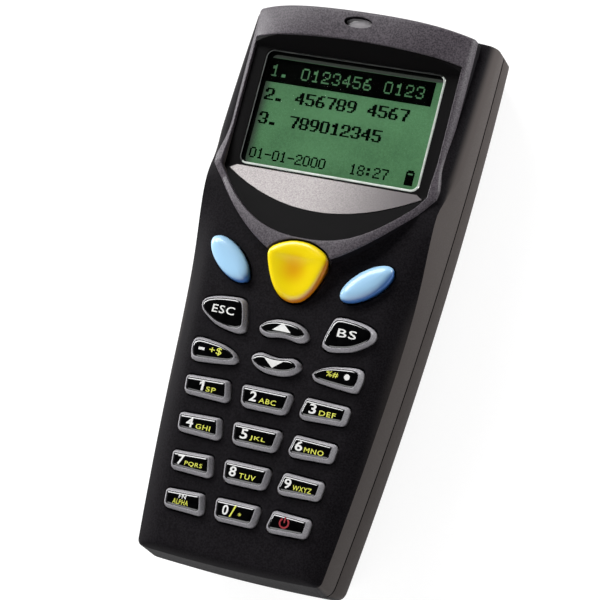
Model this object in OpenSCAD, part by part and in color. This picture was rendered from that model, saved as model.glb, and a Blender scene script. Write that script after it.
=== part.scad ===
// Portable barcode data terminal, lying on its back.
// X runs across the face, Y towards the scanner end, Z out of the face.
// The origin is under the middle of the case, on the surface that the back rests on.

/* [Case] */
// Length of the case
case_l = 122; // [118:1:128]
// Width of the case at the scanner end
head_w = 55.8; // [54:0.2:58]
// Width of the case at the tail end
tail_w = 41.8; // [41:0.2:44]
// How far each flank bows out past a straight taper
flank_bow = 1.95; // [1:0.05:3]
// Height of the keypad face above the back
face_z = 28.5; // [28:0.5:32]
// Rise of the arched scanner end
head_arch = 1.4; // [0.8:0.1:2.4]
// Rise of the slightly arched tail end
tail_arch = 0.6; // [0.2:0.1:1.5]
// Corner length at the scanner end
head_corner = 1.4; // [1:0.1:3]
// Corner length at the tail end
tail_corner = 3; // [2.5:0.1:6]
// Wall of both covers
wall = 1.8; // [1.6:0.1:2.2]
// Height of the seam at mid-length
seam_z = 17.1; // [16:0.1:18]
// Fall of the seam towards the scanner end, per millimetre
seam_fall = 0.025; // [0:0.005:0.03]
// Height of the open seam groove
seam_gap = 0.5; // [0.4:0.1:0.8]
// Depth of the seam groove down to its gasket
seam_deep = 0.45; // [0.3:0.05:0.8]
// Inward draft of the front cover's flanks
flank_in = 0.9; // [0.6:0.1:1.4]
// Extra draft at the scanner end, taken off at the tail
flank_lean = 0.5; // [0:0.1:0.5]
// Inward draft of the tail wall
tail_in = 1.7; // [1:0.1:2.2]
// Width of the rolled edge beside the keys
roll_w = 5.8; // [4:0.2:6.4]
// Drop of the rolled edge at mid-length
roll_drop = 4; // [2.5:0.1:4.5]
// Drop of the rolled edge at the tail
tail_drop = 2.3; // [1.5:0.1:3]
// Height of the chine, where the back starts to taper
chine_z = 10.2; // [9.5:0.1:11]
// Inset of the back from the flanks
back_side = 4.4; // [3.5:0.1:5]
// Inset of the back from the tail end
back_tail = 4; // [2.5:0.1:5]
// Inset of the back from the scanner end
back_head = 2.4; // [1.5:0.1:3]

/* [Display head] */
// Height of the head's crest over the keypad face
crest = 3.5; // [3:0.1:4]
// Fall of the head's crown from the middle to its edge
crown_fall = 4.1; // [3.5:0.1:4.8]
// Inset of the crown's edge from the sides of the case
crown_in = 3; // [2.5:0.1:3.5]
// Length of the head's sloping deck, from the shoulders to the scanner end
head_l = 38.5; // [37:0.5:40]
// Slope of the deck towards the scanner end
deck_slope = 0.19; // [0.15:0.01:0.2]
// Inset of the head frame's crest from the flank
frame_in = 2.7; // [2.4:0.1:3]
// Draft of the head frame's flanks
frame_draft = 0.32; // [0.25:0.01:0.4]
// How far the head frame's flanks flare out at the shoulders
frame_flare = 1.6; // [1:0.1:1.8]
// Inset of the head frame from the scanner end
frame_end = 1.1; // [0.9:0.1:1.4]
// Inset of the display recess from the sides of the case
recess_in = 4.5; // [4.2:0.1:5]
// Distance of the display recess from the scanner end
recess_end = 7.6; // [7.2:0.1:8]
// Inset of the display window from the sides of its recess
lens_in = 2.9; // [2.4:0.1:3.4]
// Length of the display window
lens_l = 25.8; // [25:0.1:26.5]
// Distance of the display window from the scanner end
lens_end = 10.8; // [10.4:0.1:11]
// Thickness of the display window
lens_t = 1.2; // [1:0.1:1.5]
// Depth of the display window under the keypad face
lens_deep = 1.2; // [1:0.1:1.5]
// Corner radius of the display window
lens_r = 1.8; // [1:0.1:2.5]
// Width of the window's border at its sides
view_side = 1.3; // [1:0.1:2]
// Width of the window's border at its ends
view_end = 1.2; // [0.9:0.1:1.9]
// Thickness of the name plate
plate_t = 0.4; // [0.3:0.05:0.6]
// Thickness of the liquid crystal panel
lcd_t = 1.8; // [1.5:0.1:2]
// Distance of the status light from the scanner end
lamp_in = 3.6; // [3.4:0.1:4]
// Width of the status light
lamp_w = 6.2; // [5:0.1:7]
// Length of the status light
lamp_l = 2.3; // [2:0.1:3]

/* [Keys] */
// Pitch of the number rows
row_pitch = 8; // [7.8:0.1:8.2]
// Centre of the first number row
row_1 = -24.5; // [-25:0.1:-24]
// Height of a number key
num_l = 4.7; // [4.2:0.1:5]
// Travel of every key
travel = 1; // [0.6:0.1:1.2]
// Rise of the key tops over the face
key_rise = 1.6; // [1.2:0.1:2]
// Rise of the two blue keys
side_rise = 2.5; // [2:0.1:3]
// Rise of the scan key
scan_rise = 3.9; // [3.5:0.1:4.2]
// Gap round each key
key_gap = 0.3; // [0.25:0.05:0.4]
// Width of a key's retaining flange
flange_w = 0.6; // [0.5:0.1:0.7]
// Thickness of a key's retaining flange
flange_t = 0.9; // [0.7:0.1:1.2]
// Radius of a key's plunger
plunger_r = 1.6; // [1.3:0.1:1.8]

/* [Boards and power] */
// Height of the main board's upper side
board_z = 19.3; // [19:0.1:19.5]
// Thickness of the main board
board_t = 1.2; // [0.8:0.1:1.6]
// Thickness of the keypad mat
mat_t = 1.6; // [1.2:0.1:1.8]
// Thickness of a dome contact
dome_t = 0.3; // [0.2:0.05:0.4]
// Diameter of a cell
cell_d = 10.5; // [10.1:0.1:10.5]
// Length of a cell with its nub
cell_l = 44.5; // [43.5:0.1:44.5]
// Wall of the battery bay
bay_wall = 1.2; // [1:0.1:1.5]
// Distance of the battery bay from the tail end
bay_in = 8.3; // [8:0.1:9]
// Wall of the battery door
door_wall = 1.6; // [1.4:0.1:2]
// Radius of a housing screw's thread
screw_r = 1; // [0.8:0.1:1.2]
// Radius of a housing screw's head
screw_head_r = 2; // [1.8:0.1:2.1]

/* [Scanner] */
// Width of the scan window
scan_w = 30; // [26:1:31]
// Height of the scan window
scan_h = 8; // [7:0.1:8.4]
// Height of the scan window's middle
scan_z = 10; // [9.6:0.1:10.2]
// Thickness of the scan window
scan_t = 1.4; // [1:0.1:1.8]
// Width of the infrared window
ir_w = 11; // [9:0.5:13]
// Height of the infrared window
ir_h = 3.6; // [3:0.2:4]

/* [Hidden] */
$fn = 48;
eps = 0.01;
fit = 0.1;        // gap between still pieces
slide_fit = 0.2;  // gap beside the battery door
flange_fit = 0.1; // gap between a flange and the face
seat_fit = 0.05;  // gap round the glued display pieces
far = 80;         // reach of cuts that pass right through
end_y = case_l / 2;
deck_y = end_y - head_l;
crown_half = head_w / 2 - crown_in;
recess_half = head_w / 2 - recess_in;
recess_top = end_y - recess_end;
lens_w = 2 * (recess_half - lens_in);
lens_y = end_y - lens_end - lens_l;
view_w = lens_w - 2 * view_side;
view_l = lens_l - 2 * view_end;
mid_half = (head_w + tail_w) / 4 + flank_bow;
half_rate = (head_w - tail_w) / 4;
corner_steps = 5;
side_steps = 16;
end_steps = 3;
fillet_steps = 5;
corner_least = 0.6;
no_lean = function (y) 0;
flange_top = face_z - wall - flange_fit;
plunger_end = board_z + dome_t + travel + fit;
lens_top = face_z - lens_deep;
lens_low = lens_top - lens_t;
lens_ledge = 1;    // of the bezel, under the window
lens_mid = lens_y + lens_l / 2;
lcd_margin = 2.3;  // of the panel, round what it shows
lcd_top = lens_low - lens_ledge - fit;
lcd_low = lcd_top - lcd_t;
bed_w = view_w + 2 * lcd_margin;
bed_l = view_l + 2 * lcd_margin;
bed_fit = 0.4;
lamp_y = end_y - lamp_in;
lamp_sink = 0.7;
cell_gap = 0.3;
door_room = 0.4;   // between the door and the bay's walls
cell_z = door_wall + door_room + cell_gap + cell_d / 2;
cell_x = (cell_d + cell_gap) / 2;
contact_room = 2.6;
bay_half = cell_x + cell_d / 2 + cell_gap;
bay_low = bay_in - end_y;
cell_y = bay_low + contact_room;
bay_high = cell_y + cell_l + contact_room;
door_seat = 0.8;   // from the bay's end wall to the door's front edge
door_y = bay_high + bay_wall + door_seat;
bay_roof = cell_z + cell_d / 2 + cell_gap;
head_screw_in = [8.1, 7.2]; // from the side and from the end
tail_screw_in = [6.5, 6.5];
head_screw = [head_w / 2 - head_screw_in.x, end_y - head_screw_in.y];
tail_screw = [tail_w / 2 - tail_screw_in.x, tail_screw_in.y - end_y];
tail_roll = 2.4;
boss_wall = 1.5;
boss_r = screw_r + boss_wall;
screw_fit = 0.15;
screw_hole_r = screw_r + screw_fit;
head_recess_r = screw_head_r + screw_fit;
post_r = head_recess_r + 1;
screw_head_t = 1.4;
head_seat = 5;
tail_seat = chine_z + screw_head_t;
thread_l = 5;
rail_z = 5;
rail_t = 1;
ledge_w = 1.2;
window_y = end_y - head_arch - scan_t - 0.6;
window_rim = 1;
scan_r = 1.5;
ir_r = 0.8;
ir_z = chine_z + ir_h / 2 + 2.4;
ir_t = 1.2;
screws = [for (p = [head_screw, tail_screw], s = [-1, 1]) [s * p.x, p.y]];

// ---------- outline of the case ----------

// Half-width of the case at a place along it
function half_at(y) = let (t = y / end_y) mid_half + half_rate * t - flank_bow * t * t;
function inset_at(y, side, lean) = half_at(y) - side - lean(y);
function head_at(x) = end_y - head_arch * pow(2 * x / head_w, 2);
function tail_at(x) = -end_y + tail_arch * pow(2 * x / tail_w, 2);

function bend(a, c, b) =
    [for (i = [0:corner_steps]) let (t = i / corner_steps)
        (1 - t) * (1 - t) * a + 2 * t * (1 - t) * c + t * t * b];

// Right half of the outline, from the middle of the tail to the middle of the head.
// The first three arguments set their stretches in from the outside, and the
// function lean sets the flank in by more at some places than at others.
function right_half(side, tail, head, lean) =
    let (tr = max(tail_corner - side, corner_least),
         hr = max(head_corner - side, corner_least),
         ty = tail_at(tail_w / 2) + tail,
         hy = head_at(head_w / 2) - head,
         tc = [inset_at(ty, side, lean), ty],
         hc = [inset_at(hy, side, lean), hy],
         tb = [tc.x - tr, tail_at(tc.x - tr) + tail],
         ta = [inset_at(ty + tr, side, lean), ty + tr],
         ha = [inset_at(hy - hr, side, lean), hy - hr],
         hb = [hc.x - hr, head_at(hc.x - hr) - head])
    concat(
        [for (i = [0:end_steps - 1]) let (x = tb.x * i / end_steps) [x, tail_at(x) + tail]],
        bend(tb, tc, ta),
        [for (i = [1:side_steps - 1]) let (y = ta.y + (ha.y - ta.y) * i / side_steps)
            [inset_at(y, side, lean), y]],
        bend(ha, hc, hb),
        [for (i = [1:end_steps]) let (x = hb.x * (1 - i / end_steps)) [x, head_at(x) - head]]);

function outline(side, tail, head, lean = no_lean) =
    let (r = right_half(side, tail, head, lean), n = len(r))
    concat(r, [for (i = [n - 2:-1:1]) [-r[i].x, r[i].y]]);

function even(inset) = outline(inset, inset, inset);

// A ring is an outline whose points each get their own height
function ring(pts, height) = [for (p = pts) [p.x, p.y, height(p)]];

// Solid between rings that all have as many points, from the lowest to the highest
module loft(rings) {
    n = len(rings[0]);
    last = (len(rings) - 1) * n;
    polyhedron(
        points = [for (r = rings, p = r) p],
        faces = concat(
            [[for (i = [0:n - 1]) i]],
            [for (k = [0:len(rings) - 2], i = [0:n - 1], h = [0, 1])
                let (j = (i + 1) % n, a = k * n + i, b = k * n + j)
                h == 0 ? [a, a + n, b + n] : [a, b + n, b]],
            [[for (i = [n - 1:-1:0]) last + i]]));
}

// ---------- heights ----------

function level(z) = function (p) z;
function seam_at(y) = seam_z - seam_fall * y;
function seam(shift) = function (p) seam_at(p.y) + shift;

// Drop of the face's edge: none at the shoulder, most beside the keys
shoulder_y = deck_y - 2.5;
shoulder_spread = 14;
mid_y = -14;
tail_ease = end_y + mid_y;
// The flanks reach a little over the sloping deck, which then trims them
deck_share = 0.9;
function roll_at(y) =
    let (t = max(0, mid_y - y) / tail_ease,
         base = roll_drop - (roll_drop - tail_drop) * t,
         off = (y - shoulder_y) / shoulder_spread)
    y > deck_y ? deck_share * deck_fall(y) : base * (1 - exp(-off * off));
function deck_fall(y) = max(0, deck_slope * (y - deck_y));
function edge(share, shift) = function (p) face_z - share * roll_at(p.y) - shift;

// ---------- plain shapes ----------

function unit(v) = v / norm(v);
function turn_left(v) = [-v.y, v.x];

// Each corner of a counter-clockwise outline, moved out by d
function grow(pts, d) =
    [for (i = [0:len(pts) - 1])
        let (n = len(pts),
             a = -turn_left(unit(pts[i] - pts[(i + n - 1) % n])),
             b = -turn_left(unit(pts[(i + 1) % n] - pts[i])))
        pts[i] + d * (a + b) / (1 + a * b)];

// A counter-clockwise outline with its convex corners rounded
function fillet(pts, r) =
    [for (i = [0:len(pts) - 1])
        let (n = len(pts), p = pts[i],
             u = unit(pts[(i + n - 1) % n] - p),
             v = unit(pts[(i + 1) % n] - p),
             half = acos(u * v) / 2,
             c = p + unit(u + v) * r / sin(half),
             start = p + u * r / tan(half) - c,
             from = atan2(start.y, start.x),
             sweep = 180 - 2 * half)
        for (k = [0:fillet_steps]) let (a = from + sweep * k / fillet_steps)
            c + r * [cos(a), sin(a)]];

function mirrored(pts) = [for (i = [len(pts) - 1:-1:0]) [-pts[i].x, pts[i].y]];

module slab(pts, low, high) {
    translate([0, 0, low]) linear_extrude(high - low) polygon(pts);
}

// Prism whose outline lies in the XZ plane, along all of Y
module along_y(pts) {
    rotate([90, 0, 0]) translate([0, 0, -far]) linear_extrude(2 * far) polygon(pts);
}

// Prism whose outline lies in the YZ plane, along all of X
module along_x(pts) {
    rotate([90, 0, 90]) translate([0, 0, -far]) linear_extrude(2 * far) polygon(pts);
}

function box_pts(w, l, y) =
    [[w / 2, y - l / 2], [w / 2, y + l / 2], [-w / 2, y + l / 2], [-w / 2, y - l / 2]];

module block(x, y, z, w, l, h) {
    translate([x - w / 2, y - l / 2, z]) cube([w, l, h]);
}

// ---------- keys ----------

// The layout's shoulder line, its length down to the last row, and the widths of both ends of
// the case that it is drawn on, added up. It stretches with the case.
drawn = [22.5, 73.35, 97.6];
tail_room = 10.15; // from the last row to the tail end
along = (deck_y + end_y - tail_room) / drawn[1];
across = (head_w + tail_w) / drawn[2];
function place(pts) = [for (p = pts) [across * p.x, deck_y + along * (p.y - drawn[0])]];

num_r = 1;
escape_r = 1.2;
symbol_r = 0.8;
row_step_in = 0.28;
row_step_out = 0.72;
function row_y(r) = row_1 - row_pitch * r;

// The middle number keys narrow downwards, the side ones lean to the middle
function mid_key(r) =
    let (y = row_y(r), top = 5.6 - 0.25 * r, low = 4.75 - 0.18 * r)
    [[low, y - num_l / 2], [top, y + num_l / 2], [-top, y + num_l / 2], [-low, y - num_l / 2]];
function side_key(r) =
    let (y = row_y(r), slope = 0.35, in_top = 8.7 - row_step_in * r, in_low = 7.6 - row_step_in * r,
         out_top = 18.6 - row_step_out * r, out_low = 18.2 - row_step_out * r)
    [[in_low, y - num_l / 2], [out_low, y - num_l / 2 + slope], [out_top, y + num_l / 2 - slope],
     [in_top, y + num_l / 2]];

escape_pts = [[8.3, -12.4], [14.8, -11.2], [20, -9.1], [20.6, -6.1], [15.5, -4.6], [10.5, -4.2]];
symbol_pts = [[8, -18.6], [18.9, -19.6], [19.2, -14.1], [8.2, -16.7]];
arrow_reach = 5.6;
arrow_y = 3.3;
arrow_mid = -13.2;
arrow_r = 0.8;
arrow_high = 6;
arrow_low = 2;
arrow_notch = 0.6;
arrow_steps = 4;
arrow_inner = 0.64; // reach of the inner edge, as a share
arrow_power = 2.2;  // of the outer edge's curve
// Crescent: a convex outer edge, and an inner edge with a shallow notch
arrow_up = concat(
    [for (i = [-arrow_steps:arrow_steps]) let (x = arrow_inner * arrow_reach * i / arrow_steps)
        [x, arrow_mid + arrow_low + arrow_notch * (1 + cos(180 * i / arrow_steps)) / 2]],
    [for (i = [arrow_steps:-1:-arrow_steps]) let (t = i / arrow_steps)
        [t * arrow_reach, arrow_mid + arrow_high - (arrow_high - arrow_y) * pow(abs(t), arrow_power)]]);
arrow_down = [for (i = [len(arrow_up) - 1:-1:0]) [arrow_up[i].x, 2 * arrow_mid - arrow_up[i].y]];

blue_long = 6.5;
blue_short = 3.1;
blue_x = 15.5;
blue_y = 3.2;
blue_turn = 40;
blue_steps = 32;
function blue_pts(d) =
    let (c = place([[blue_x, blue_y]])[0], u = [cos(blue_turn), sin(blue_turn)])
    [for (i = [0:blue_steps - 1]) let (a = 360 * i / blue_steps)
        c + (along * blue_long + d) * cos(a) * u + (along * blue_short + d) * sin(a) * turn_left(u)];

shield_half = [[2.1, -3.6], [4.4, -2.1], [5.7, 1.2], [6.8, 5.4], [5.2, 7.7], [2, 8.8]];
shield = concat(shield_half, mirrored(shield_half));
shield_r = 1.5;
shield_least = 0.3;

// Outline of each key, grown by d
function key_pts(name, d) =
    name == "scan" ? fillet(grow(place(shield), d), max(shield_r + d, shield_least))
    : name == "right" ? blue_pts(d)
    : name == "left" ? mirrored(blue_pts(d))
    : name == "back" ? fillet(grow(place(escape_pts), d), escape_r + d)
    : name == "esc" ? fillet(grow(mirrored(place(escape_pts)), d), escape_r + d)
    : name == "point" ? fillet(grow(place(symbol_pts), d), symbol_r + d)
    : name == "minus" ? fillet(grow(mirrored(place(symbol_pts)), d), symbol_r + d)
    : name == "up" ? crescent(place(arrow_up), d)
    : name == "down" ? crescent(place(arrow_down), d)
    : let (i = search([name], num_names)[0], r = floor(i / 3), c = i % 3, side = place(side_key(r)))
      fillet(grow(c == 0 ? mirrored(side) : c == 1 ? place(mid_key(r)) : side, d), num_r + d);
function crescent(pts, d) =
    let (n = len(pts), g = grow(pts, d))
    [for (i = [0:n - 1]) each
        abs(pts[i].x) < across * arrow_reach - eps ? [g[i]]
        : let (a = g[(i + n - 1) % n], b = g[(i + 1) % n], u = unit(a - g[i]), v = unit(b - g[i]))
          bend(g[i] + u * arrow_r, g[i], g[i] + v * arrow_r)];

num_names = ["1", "2", "3", "4", "5", "6", "7", "8", "9", "fn", "0", "power"];
key_names = concat(["scan", "left", "right", "esc", "back", "up", "down", "minus", "point"], num_names);

function mean(pts) = [for (a = [0, 1]) let (c = [for (p = pts) p[a]]) (max(c) + min(c)) / 2];

function flat_ring(pts, z) = [for (p = pts) [p.x, p.y, z]];

// Flange and plunger that every key has under the face
module key_foot(name) {
    c = mean(key_pts(name, 0));
    slab(key_pts(name, key_gap + flange_w), flange_top - flange_t, flange_top);
    translate([c.x, c.y, plunger_end])
        cylinder(r = plunger_r, h = flange_top - flange_t - plunger_end + eps);
}

chamfer_in = 0.6;
module small_key(name) {
    color("dimgray") union() {
        key_foot(name);
        loft([flat_ring(key_pts(name, 0), flange_top - flange_t / 2),
              flat_ring(key_pts(name, 0), face_z + key_rise / 3),
              flat_ring(key_pts(name, -chamfer_in), face_z + key_rise)]);
    }
}

module blue_key(name) {
    dome = [[0, 0.2], [0.25, 0.55], [0.9, 0.85], [1.9, 1]];
    color("lightskyblue") union() {
        key_foot(name);
        loft(concat([flat_ring(key_pts(name, 0), flange_top - flange_t / 2)],
                    [for (d = dome) flat_ring(key_pts(name, -d[0]), face_z + side_rise * d[1])]));
    }
}

// The scan key's top slopes up to the display
scan_slope = 0.25;
scan_top_y = place([[0, 6]])[0].y;
function scan_top(shift) =
    function (p) face_z + scan_rise - shift + scan_slope * (min(p.y, scan_top_y) - scan_top_y);

module key_scan() {
    // each step in from the rim, and how far under the top it lies
    rim = [[0, 1], [0.35, 0.35], [1.1, 0], [2.6, 0.25], [3.8, 0.5]];
    color("gold") union() {
        key_foot("scan");
        loft(concat([flat_ring(key_pts("scan", 0), flange_top - flange_t / 2)],
                    [for (d = rim) ring(key_pts("scan", -d[0]), scan_top(d[1]))]));
    }
}
module key_left() { blue_key("left"); }
module key_right() { blue_key("right"); }
module key_esc() { small_key("esc"); }
module key_back() { small_key("back"); }
module key_up() { small_key("up"); }
module key_down() { small_key("down"); }
module key_minus() { small_key("minus"); }
module key_point() { small_key("point"); }

// ---------- covers ----------

// Prism over the head's deck, which slopes down to the scanner end
module over_deck(shift) {
    along_x([[deck_y, face_z - shift], [far, face_z - deck_fall(far) - shift],
             [far, far], [deck_y, far]]);
}

// Prism over the face and the deck
module over_cover() {
    along_x([[-far, face_z], [deck_y, face_z], [far, face_z - deck_fall(far)],
             [far, far], [-far, far]]);
}

// Prism over the seat that the display bezel is let into
seat_l = 5.5; // of the seat, from the shoulders towards the keys
seat_y = deck_y - seat_l;
seat_z = face_z - lens_deep - lens_t - lens_ledge;
module over_seat(shift) {
    along_x([[seat_y + shift, ramp_at(seat_y) - lens_ledge + shift], [ramp_low, seat_z + shift],
             [far, seat_z + shift], [far, far], [seat_y + shift, far]]);
}

module scan_opening(grown, from, to) {
    rotate([90, 0, 0]) translate([0, scan_z, -to]) linear_extrude(to - from)
        polygon(fillet(box_pts(scan_w + 2 * grown, scan_h + 2 * grown, 0), scan_r + grown));
}

module ir_opening(grown, from, to) {
    rotate([90, 0, 0]) translate([0, ir_z, -to]) linear_extrude(to - from)
        polygon(fillet(box_pts(ir_w + 2 * grown, ir_h + 2 * grown, 0), ir_r + grown));
}

// Outline of the face, a share of the rolled edge in from the flank
function face_ring(share, more) =
    outline(flank_in + share * roll_w + more, tail_in + share * tail_roll + more,
            flank_in + share * roll_w + more, function (y) flank_lean * y / end_y);

module front_cover() {
    // each step of the rolled edge: its share of the width and of the drop that is left
    rolls = [[0, 1], [0.35, 0.42], [0.7, 0.09], [1, 0]];
    // the roof inside stays level past the keys' flanges
    roof_share = 0.3;
    color("#2a282a") difference() {
        union() {
            difference() {
                loft(concat([ring(even(0), seam(seam_gap / 2))],
                            [for (r = rolls) ring(face_ring(r[0], 0), edge(r[1], 0))]));
                difference() {
                    loft([ring(even(wall), seam(-1)),
                          ring(face_ring(0, wall), edge(1, wall)),
                          ring(face_ring(roof_share, wall), level(face_z - wall))]);
                    over_deck(wall);
                }
            }
            // screw bosses, from the seam up into the wall
            for (p = screws) translate([p.x, p.y, seam_at(p.y)])
                cylinder(r = boss_r, h = face_z - deck_fall(p.y) - wall / 2 - seam_at(p.y));
        }
        over_deck(0);
        slab(box_pts(bed_w + 2 * bed_fit, bed_l + 2 * bed_fit, lens_mid), board_z, face_z);
        intersection() {
            slab(recess_pts(0), seat_z, face_z + eps);
            over_seat(0);
        }
        for (p = screws) translate([p.x, p.y, seam_at(p.y) - eps]) cylinder(r = screw_r, h = thread_l);
        for (n = key_names) slab(key_pts(n, key_gap), face_z - 2 * wall, face_z + eps);
        slab(lamp_pts(fit), board_z, face_z);
    }
}

module seam_gasket() {
    color("#101010") difference() {
        loft([ring(even(seam_deep), seam(-seam_gap / 2)), ring(even(seam_deep), seam(seam_gap / 2))]);
        loft([ring(even(wall), seam(-seam_gap)), ring(even(wall), seam(seam_gap))]);
    }
}

back_round = 0.8;
band_in = 0.2;
function back_ring(more) = outline(back_side + more, back_tail + more, back_head + more);

// Outside of the covers below the seam
module back_body(top) {
    loft([ring(back_ring(0), level(0)),
          ring(back_ring(-back_round), level(back_round / 2)),
          ring(even(band_in), level(chine_z)),
          ring(even(0), top)]);
}

// Room inside walls of thickness w
module back_room(w) {
    loft([ring(back_ring(0.8 * w), level(w)),
          ring(even(band_in + w), level(chine_z + 0.3 * w)),
          ring(even(w), level(far / 2))]);
}

module bay_walls() {
    low = door_wall + door_room;
    block(0, (bay_low + bay_high) / 2, low,
          2 * (bay_half + bay_wall), bay_high - bay_low + 2 * bay_wall, bay_roof + bay_wall - low);
}

module bay_room() {
    block(0, (bay_low + bay_high) / 2, -eps, 2 * bay_half, bay_high - bay_low, bay_roof + eps);
}

sound_pitch = 2.4;
sound_hole_r = 0.6;
// The buzzer and the coin cell lie side by side, just past the battery bay
pair_in = 15.9;
pair_room = 17;
backup_at = [head_w / 2 - pair_in, door_y + pair_room];
buzzer_at = [-backup_at.x, backup_at.y];

// Post round a screw, from inside the back up to the seam
module screw_post(at, from) {
    translate([at.x, at.y, from])
        cylinder(r = post_r, h = seam_at(at.y) - seam_gap / 2 - fit - from);
}

module rear_cover() {
    plate_z = chine_z + wall;
    color("#3c393a") difference() {
        union() {
            difference() {
                back_body(seam(-seam_gap / 2));
                // deep room under the scanner, shallow room over the door
                intersection() {
                    back_room(wall);
                    union() {
                        block(0, door_y + wall + far / 2, 0, 2 * far, far, far);
                        block(0, 0, plate_z, 2 * far, 2 * far, far);
                    }
                }
                // room for the door
                block(0, door_y - far / 2, -far + chine_z, 2 * far, far, far);
            }
            bay_walls();
            for (s = [-1, 1]) {
                block(s * (bay_half + bay_wall + ledge_w / 2 - eps), (bay_low + bay_high) / 2, rail_z,
                      ledge_w, bay_high - bay_low, rail_t);
                screw_post([s * head_screw.x, head_screw.y], wall / 2);
                screw_post([s * tail_screw.x, tail_screw.y], chine_z + wall / 2);
            }
        }
        bay_room();
        for (s = [-1, 1]) {
            translate([s * head_screw.x, head_screw.y, -eps])
                cylinder(r = head_recess_r, h = head_seat + eps);
            translate([s * tail_screw.x, tail_screw.y, chine_z - eps])
                cylinder(r = head_recess_r, h = tail_seat - chine_z + eps);
        }
        for (p = screws) translate([p.x, p.y, 0]) cylinder(r = screw_hole_r, h = far / 2);
        translate([buzzer_at.x, buzzer_at.y, -eps]) for (a = [0:60:300])
            translate(sound_pitch * [cos(a), sin(a)]) cylinder(r = sound_hole_r, h = 2 * wall);
        scan_opening(0, window_y - fit, far);
        scan_opening(window_rim + fit, window_y - 2, window_y + scan_t);
        ir_opening(0, -far, -end_y + 2 * wall);
    }
}

module battery_door() {
    rib_x = bay_half + bay_wall + ledge_w + slide_fit;
    rib_w = 1.2;
    rib_in = 4; // from each end of the bay
    rib_l = bay_high - bay_low - 2 * rib_in;
    rib_y = (bay_low + bay_high) / 2;
    lip_z = rail_z + rail_t + slide_fit;
    lip_t = 1;
    grips = 5;
    grip_y = door_y - 7;
    grip_pitch = 1.8;
    grip_w = 16;
    grip_deep = 0.5;
    color("#343132") difference() {
        union() {
            difference() {
                back_body(level(chine_z + 1));
                difference() {
                    back_room(door_wall);
                    // the room stops before the tail wall
                    block(0, door_wall + tail_arch - end_y - far / 2, -eps, 2 * far, far, chine_z + 2);
                }
            }
            // ribs, each with a lip over the ledge on the bay's wall
            for (s = [-1, 1]) {
                block(s * (rib_x + rib_w / 2), rib_y, door_wall - eps,
                      rib_w, rib_l, lip_z + lip_t - door_wall);
                block(s * (rib_x - ledge_w / 2 + rib_w / 2), rib_y, lip_z,
                      ledge_w + rib_w, rib_l, lip_t);
            }
        }
        block(0, door_y - slide_fit + far / 2, -eps, 2 * far, far, far);
        block(0, 0, chine_z - slide_fit, 2 * far, 2 * far, far);
        // grip grooves for the thumb
        for (i = [0:grips - 1])
            block(0, grip_y - grip_pitch * i, -eps, grip_w - i, grip_pitch / 2, grip_deep);
    }
}

// ---------- display head ----------

crown_steps = 12;
crown_wide = head_w / 2 + 1;
// The crown falls to its edge and runs on level from there
function crown_at(x) = crest - crown_fall * min(1, pow(abs(x) / crown_half, 4));

module under_crown(shift) {
    along_y(concat([[-crown_wide, 0], [crown_wide, 0]],
                   [for (i = [crown_steps:-1:-crown_steps]) let (x = crown_wide * i / crown_steps)
                       [x, face_z + crown_at(x) - shift]]));
}

// Lower edges of the head frame and of its recess, which sweep round the scan key
vee_steps = 10;
vee_drop = 18.3; // of the frame's lower edge under the shoulders, at the middle
vee_power = 1.7;
vee_low = deck_y - along * vee_drop;
vee_end = [head_w / 2 - 1.7, deck_y + 1.9];
vee = [for (i = [0:vee_steps]) let (t = i / vee_steps)
    [vee_end.x * t, vee_low + (vee_end.y - vee_low) * pow(t, vee_power)]];
vee_room_drop = 12.7;
vee_room_power = 2.4;
vee_room_low = deck_y - along * vee_room_drop;
vee_room_end = deck_y + 0.9;
vee_room = [for (i = [0:vee_steps]) let (t = i / vee_steps)
    [recess_half * t, vee_room_low + (vee_room_end - vee_room_low) * pow(t, vee_room_power)]];
function both_sides(pts) = concat([for (i = [len(pts) - 1:-1:1]) [-pts[i].x, pts[i].y]], pts);

frame_pts = concat(both_sides(vee), [[far, vee_end.y], [far, far], [-far, far], [-far, vee_end.y]]);
recess_side = recess_top - 1.2;
recess_arch = [for (i = [0:8]) let (x = recess_half * (1 - i / 4))
    [x, recess_top - (recess_top - recess_side) * pow(x / recess_half, 2)]];
function recess_pts(d) = grow(concat(both_sides(vee_room), recess_arch), d);

function lamp_pts(d) =
    [for (i = [0:23]) let (a = 15 * i) [(lamp_w / 2 + d) * cos(a), lamp_y + (lamp_l / 2 + d) * sin(a)]];

flare_l = 6;
flare_y = deck_y - 1.5;
// Outline of the frame at a height over the face, with flanks that flare out at the shoulders
function frame_ring(up) =
    ring(outline(frame_in + frame_draft * (up + 1), 0, frame_end,
                 function (y) -frame_flare * exp(-pow((y - flare_y) / flare_l, 2))),
         level(face_z + up));

module head_frame() {
    rise = crest + 1;
    sunk = deck_fall(end_y) + 1;
    hollow_in = 6;
    hollow_w = 2 * (crown_half - hollow_in);
    hollow_top = face_z + crest - wall;
    color("#4a4648") difference() {
        intersection() {
            loft([frame_ring(-sunk), frame_ring(rise)]);
            under_crown(0);
            slab(frame_pts, face_z - sunk, face_z + rise);
            over_cover();
        }
        slab(recess_pts(0), face_z - sunk - 1, face_z + rise + 1);
        slab(key_pts("scan", key_gap), face_z - eps, face_z + rise);
        // hollow forehead, and the hole of the status light in its roof
        block(0, lamp_y, 0, hollow_w, lamp_l + 2 * fit, hollow_top);
        slab(lamp_pts(fit), face_z, face_z + rise);
    }
}

ramp_low = lens_y - 0.5;
ramp_high = vee_room_low - 0.4;
ramp_top = crest - 0.5;
ramp_slope = (ramp_top + lens_deep) / (ramp_low - ramp_high);
function ramp_at(y) = face_z - lens_deep + ramp_slope * (ramp_low - y);
brow_low = lens_y + lens_l + 0.4;
rim_sunk = 0.15;

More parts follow.
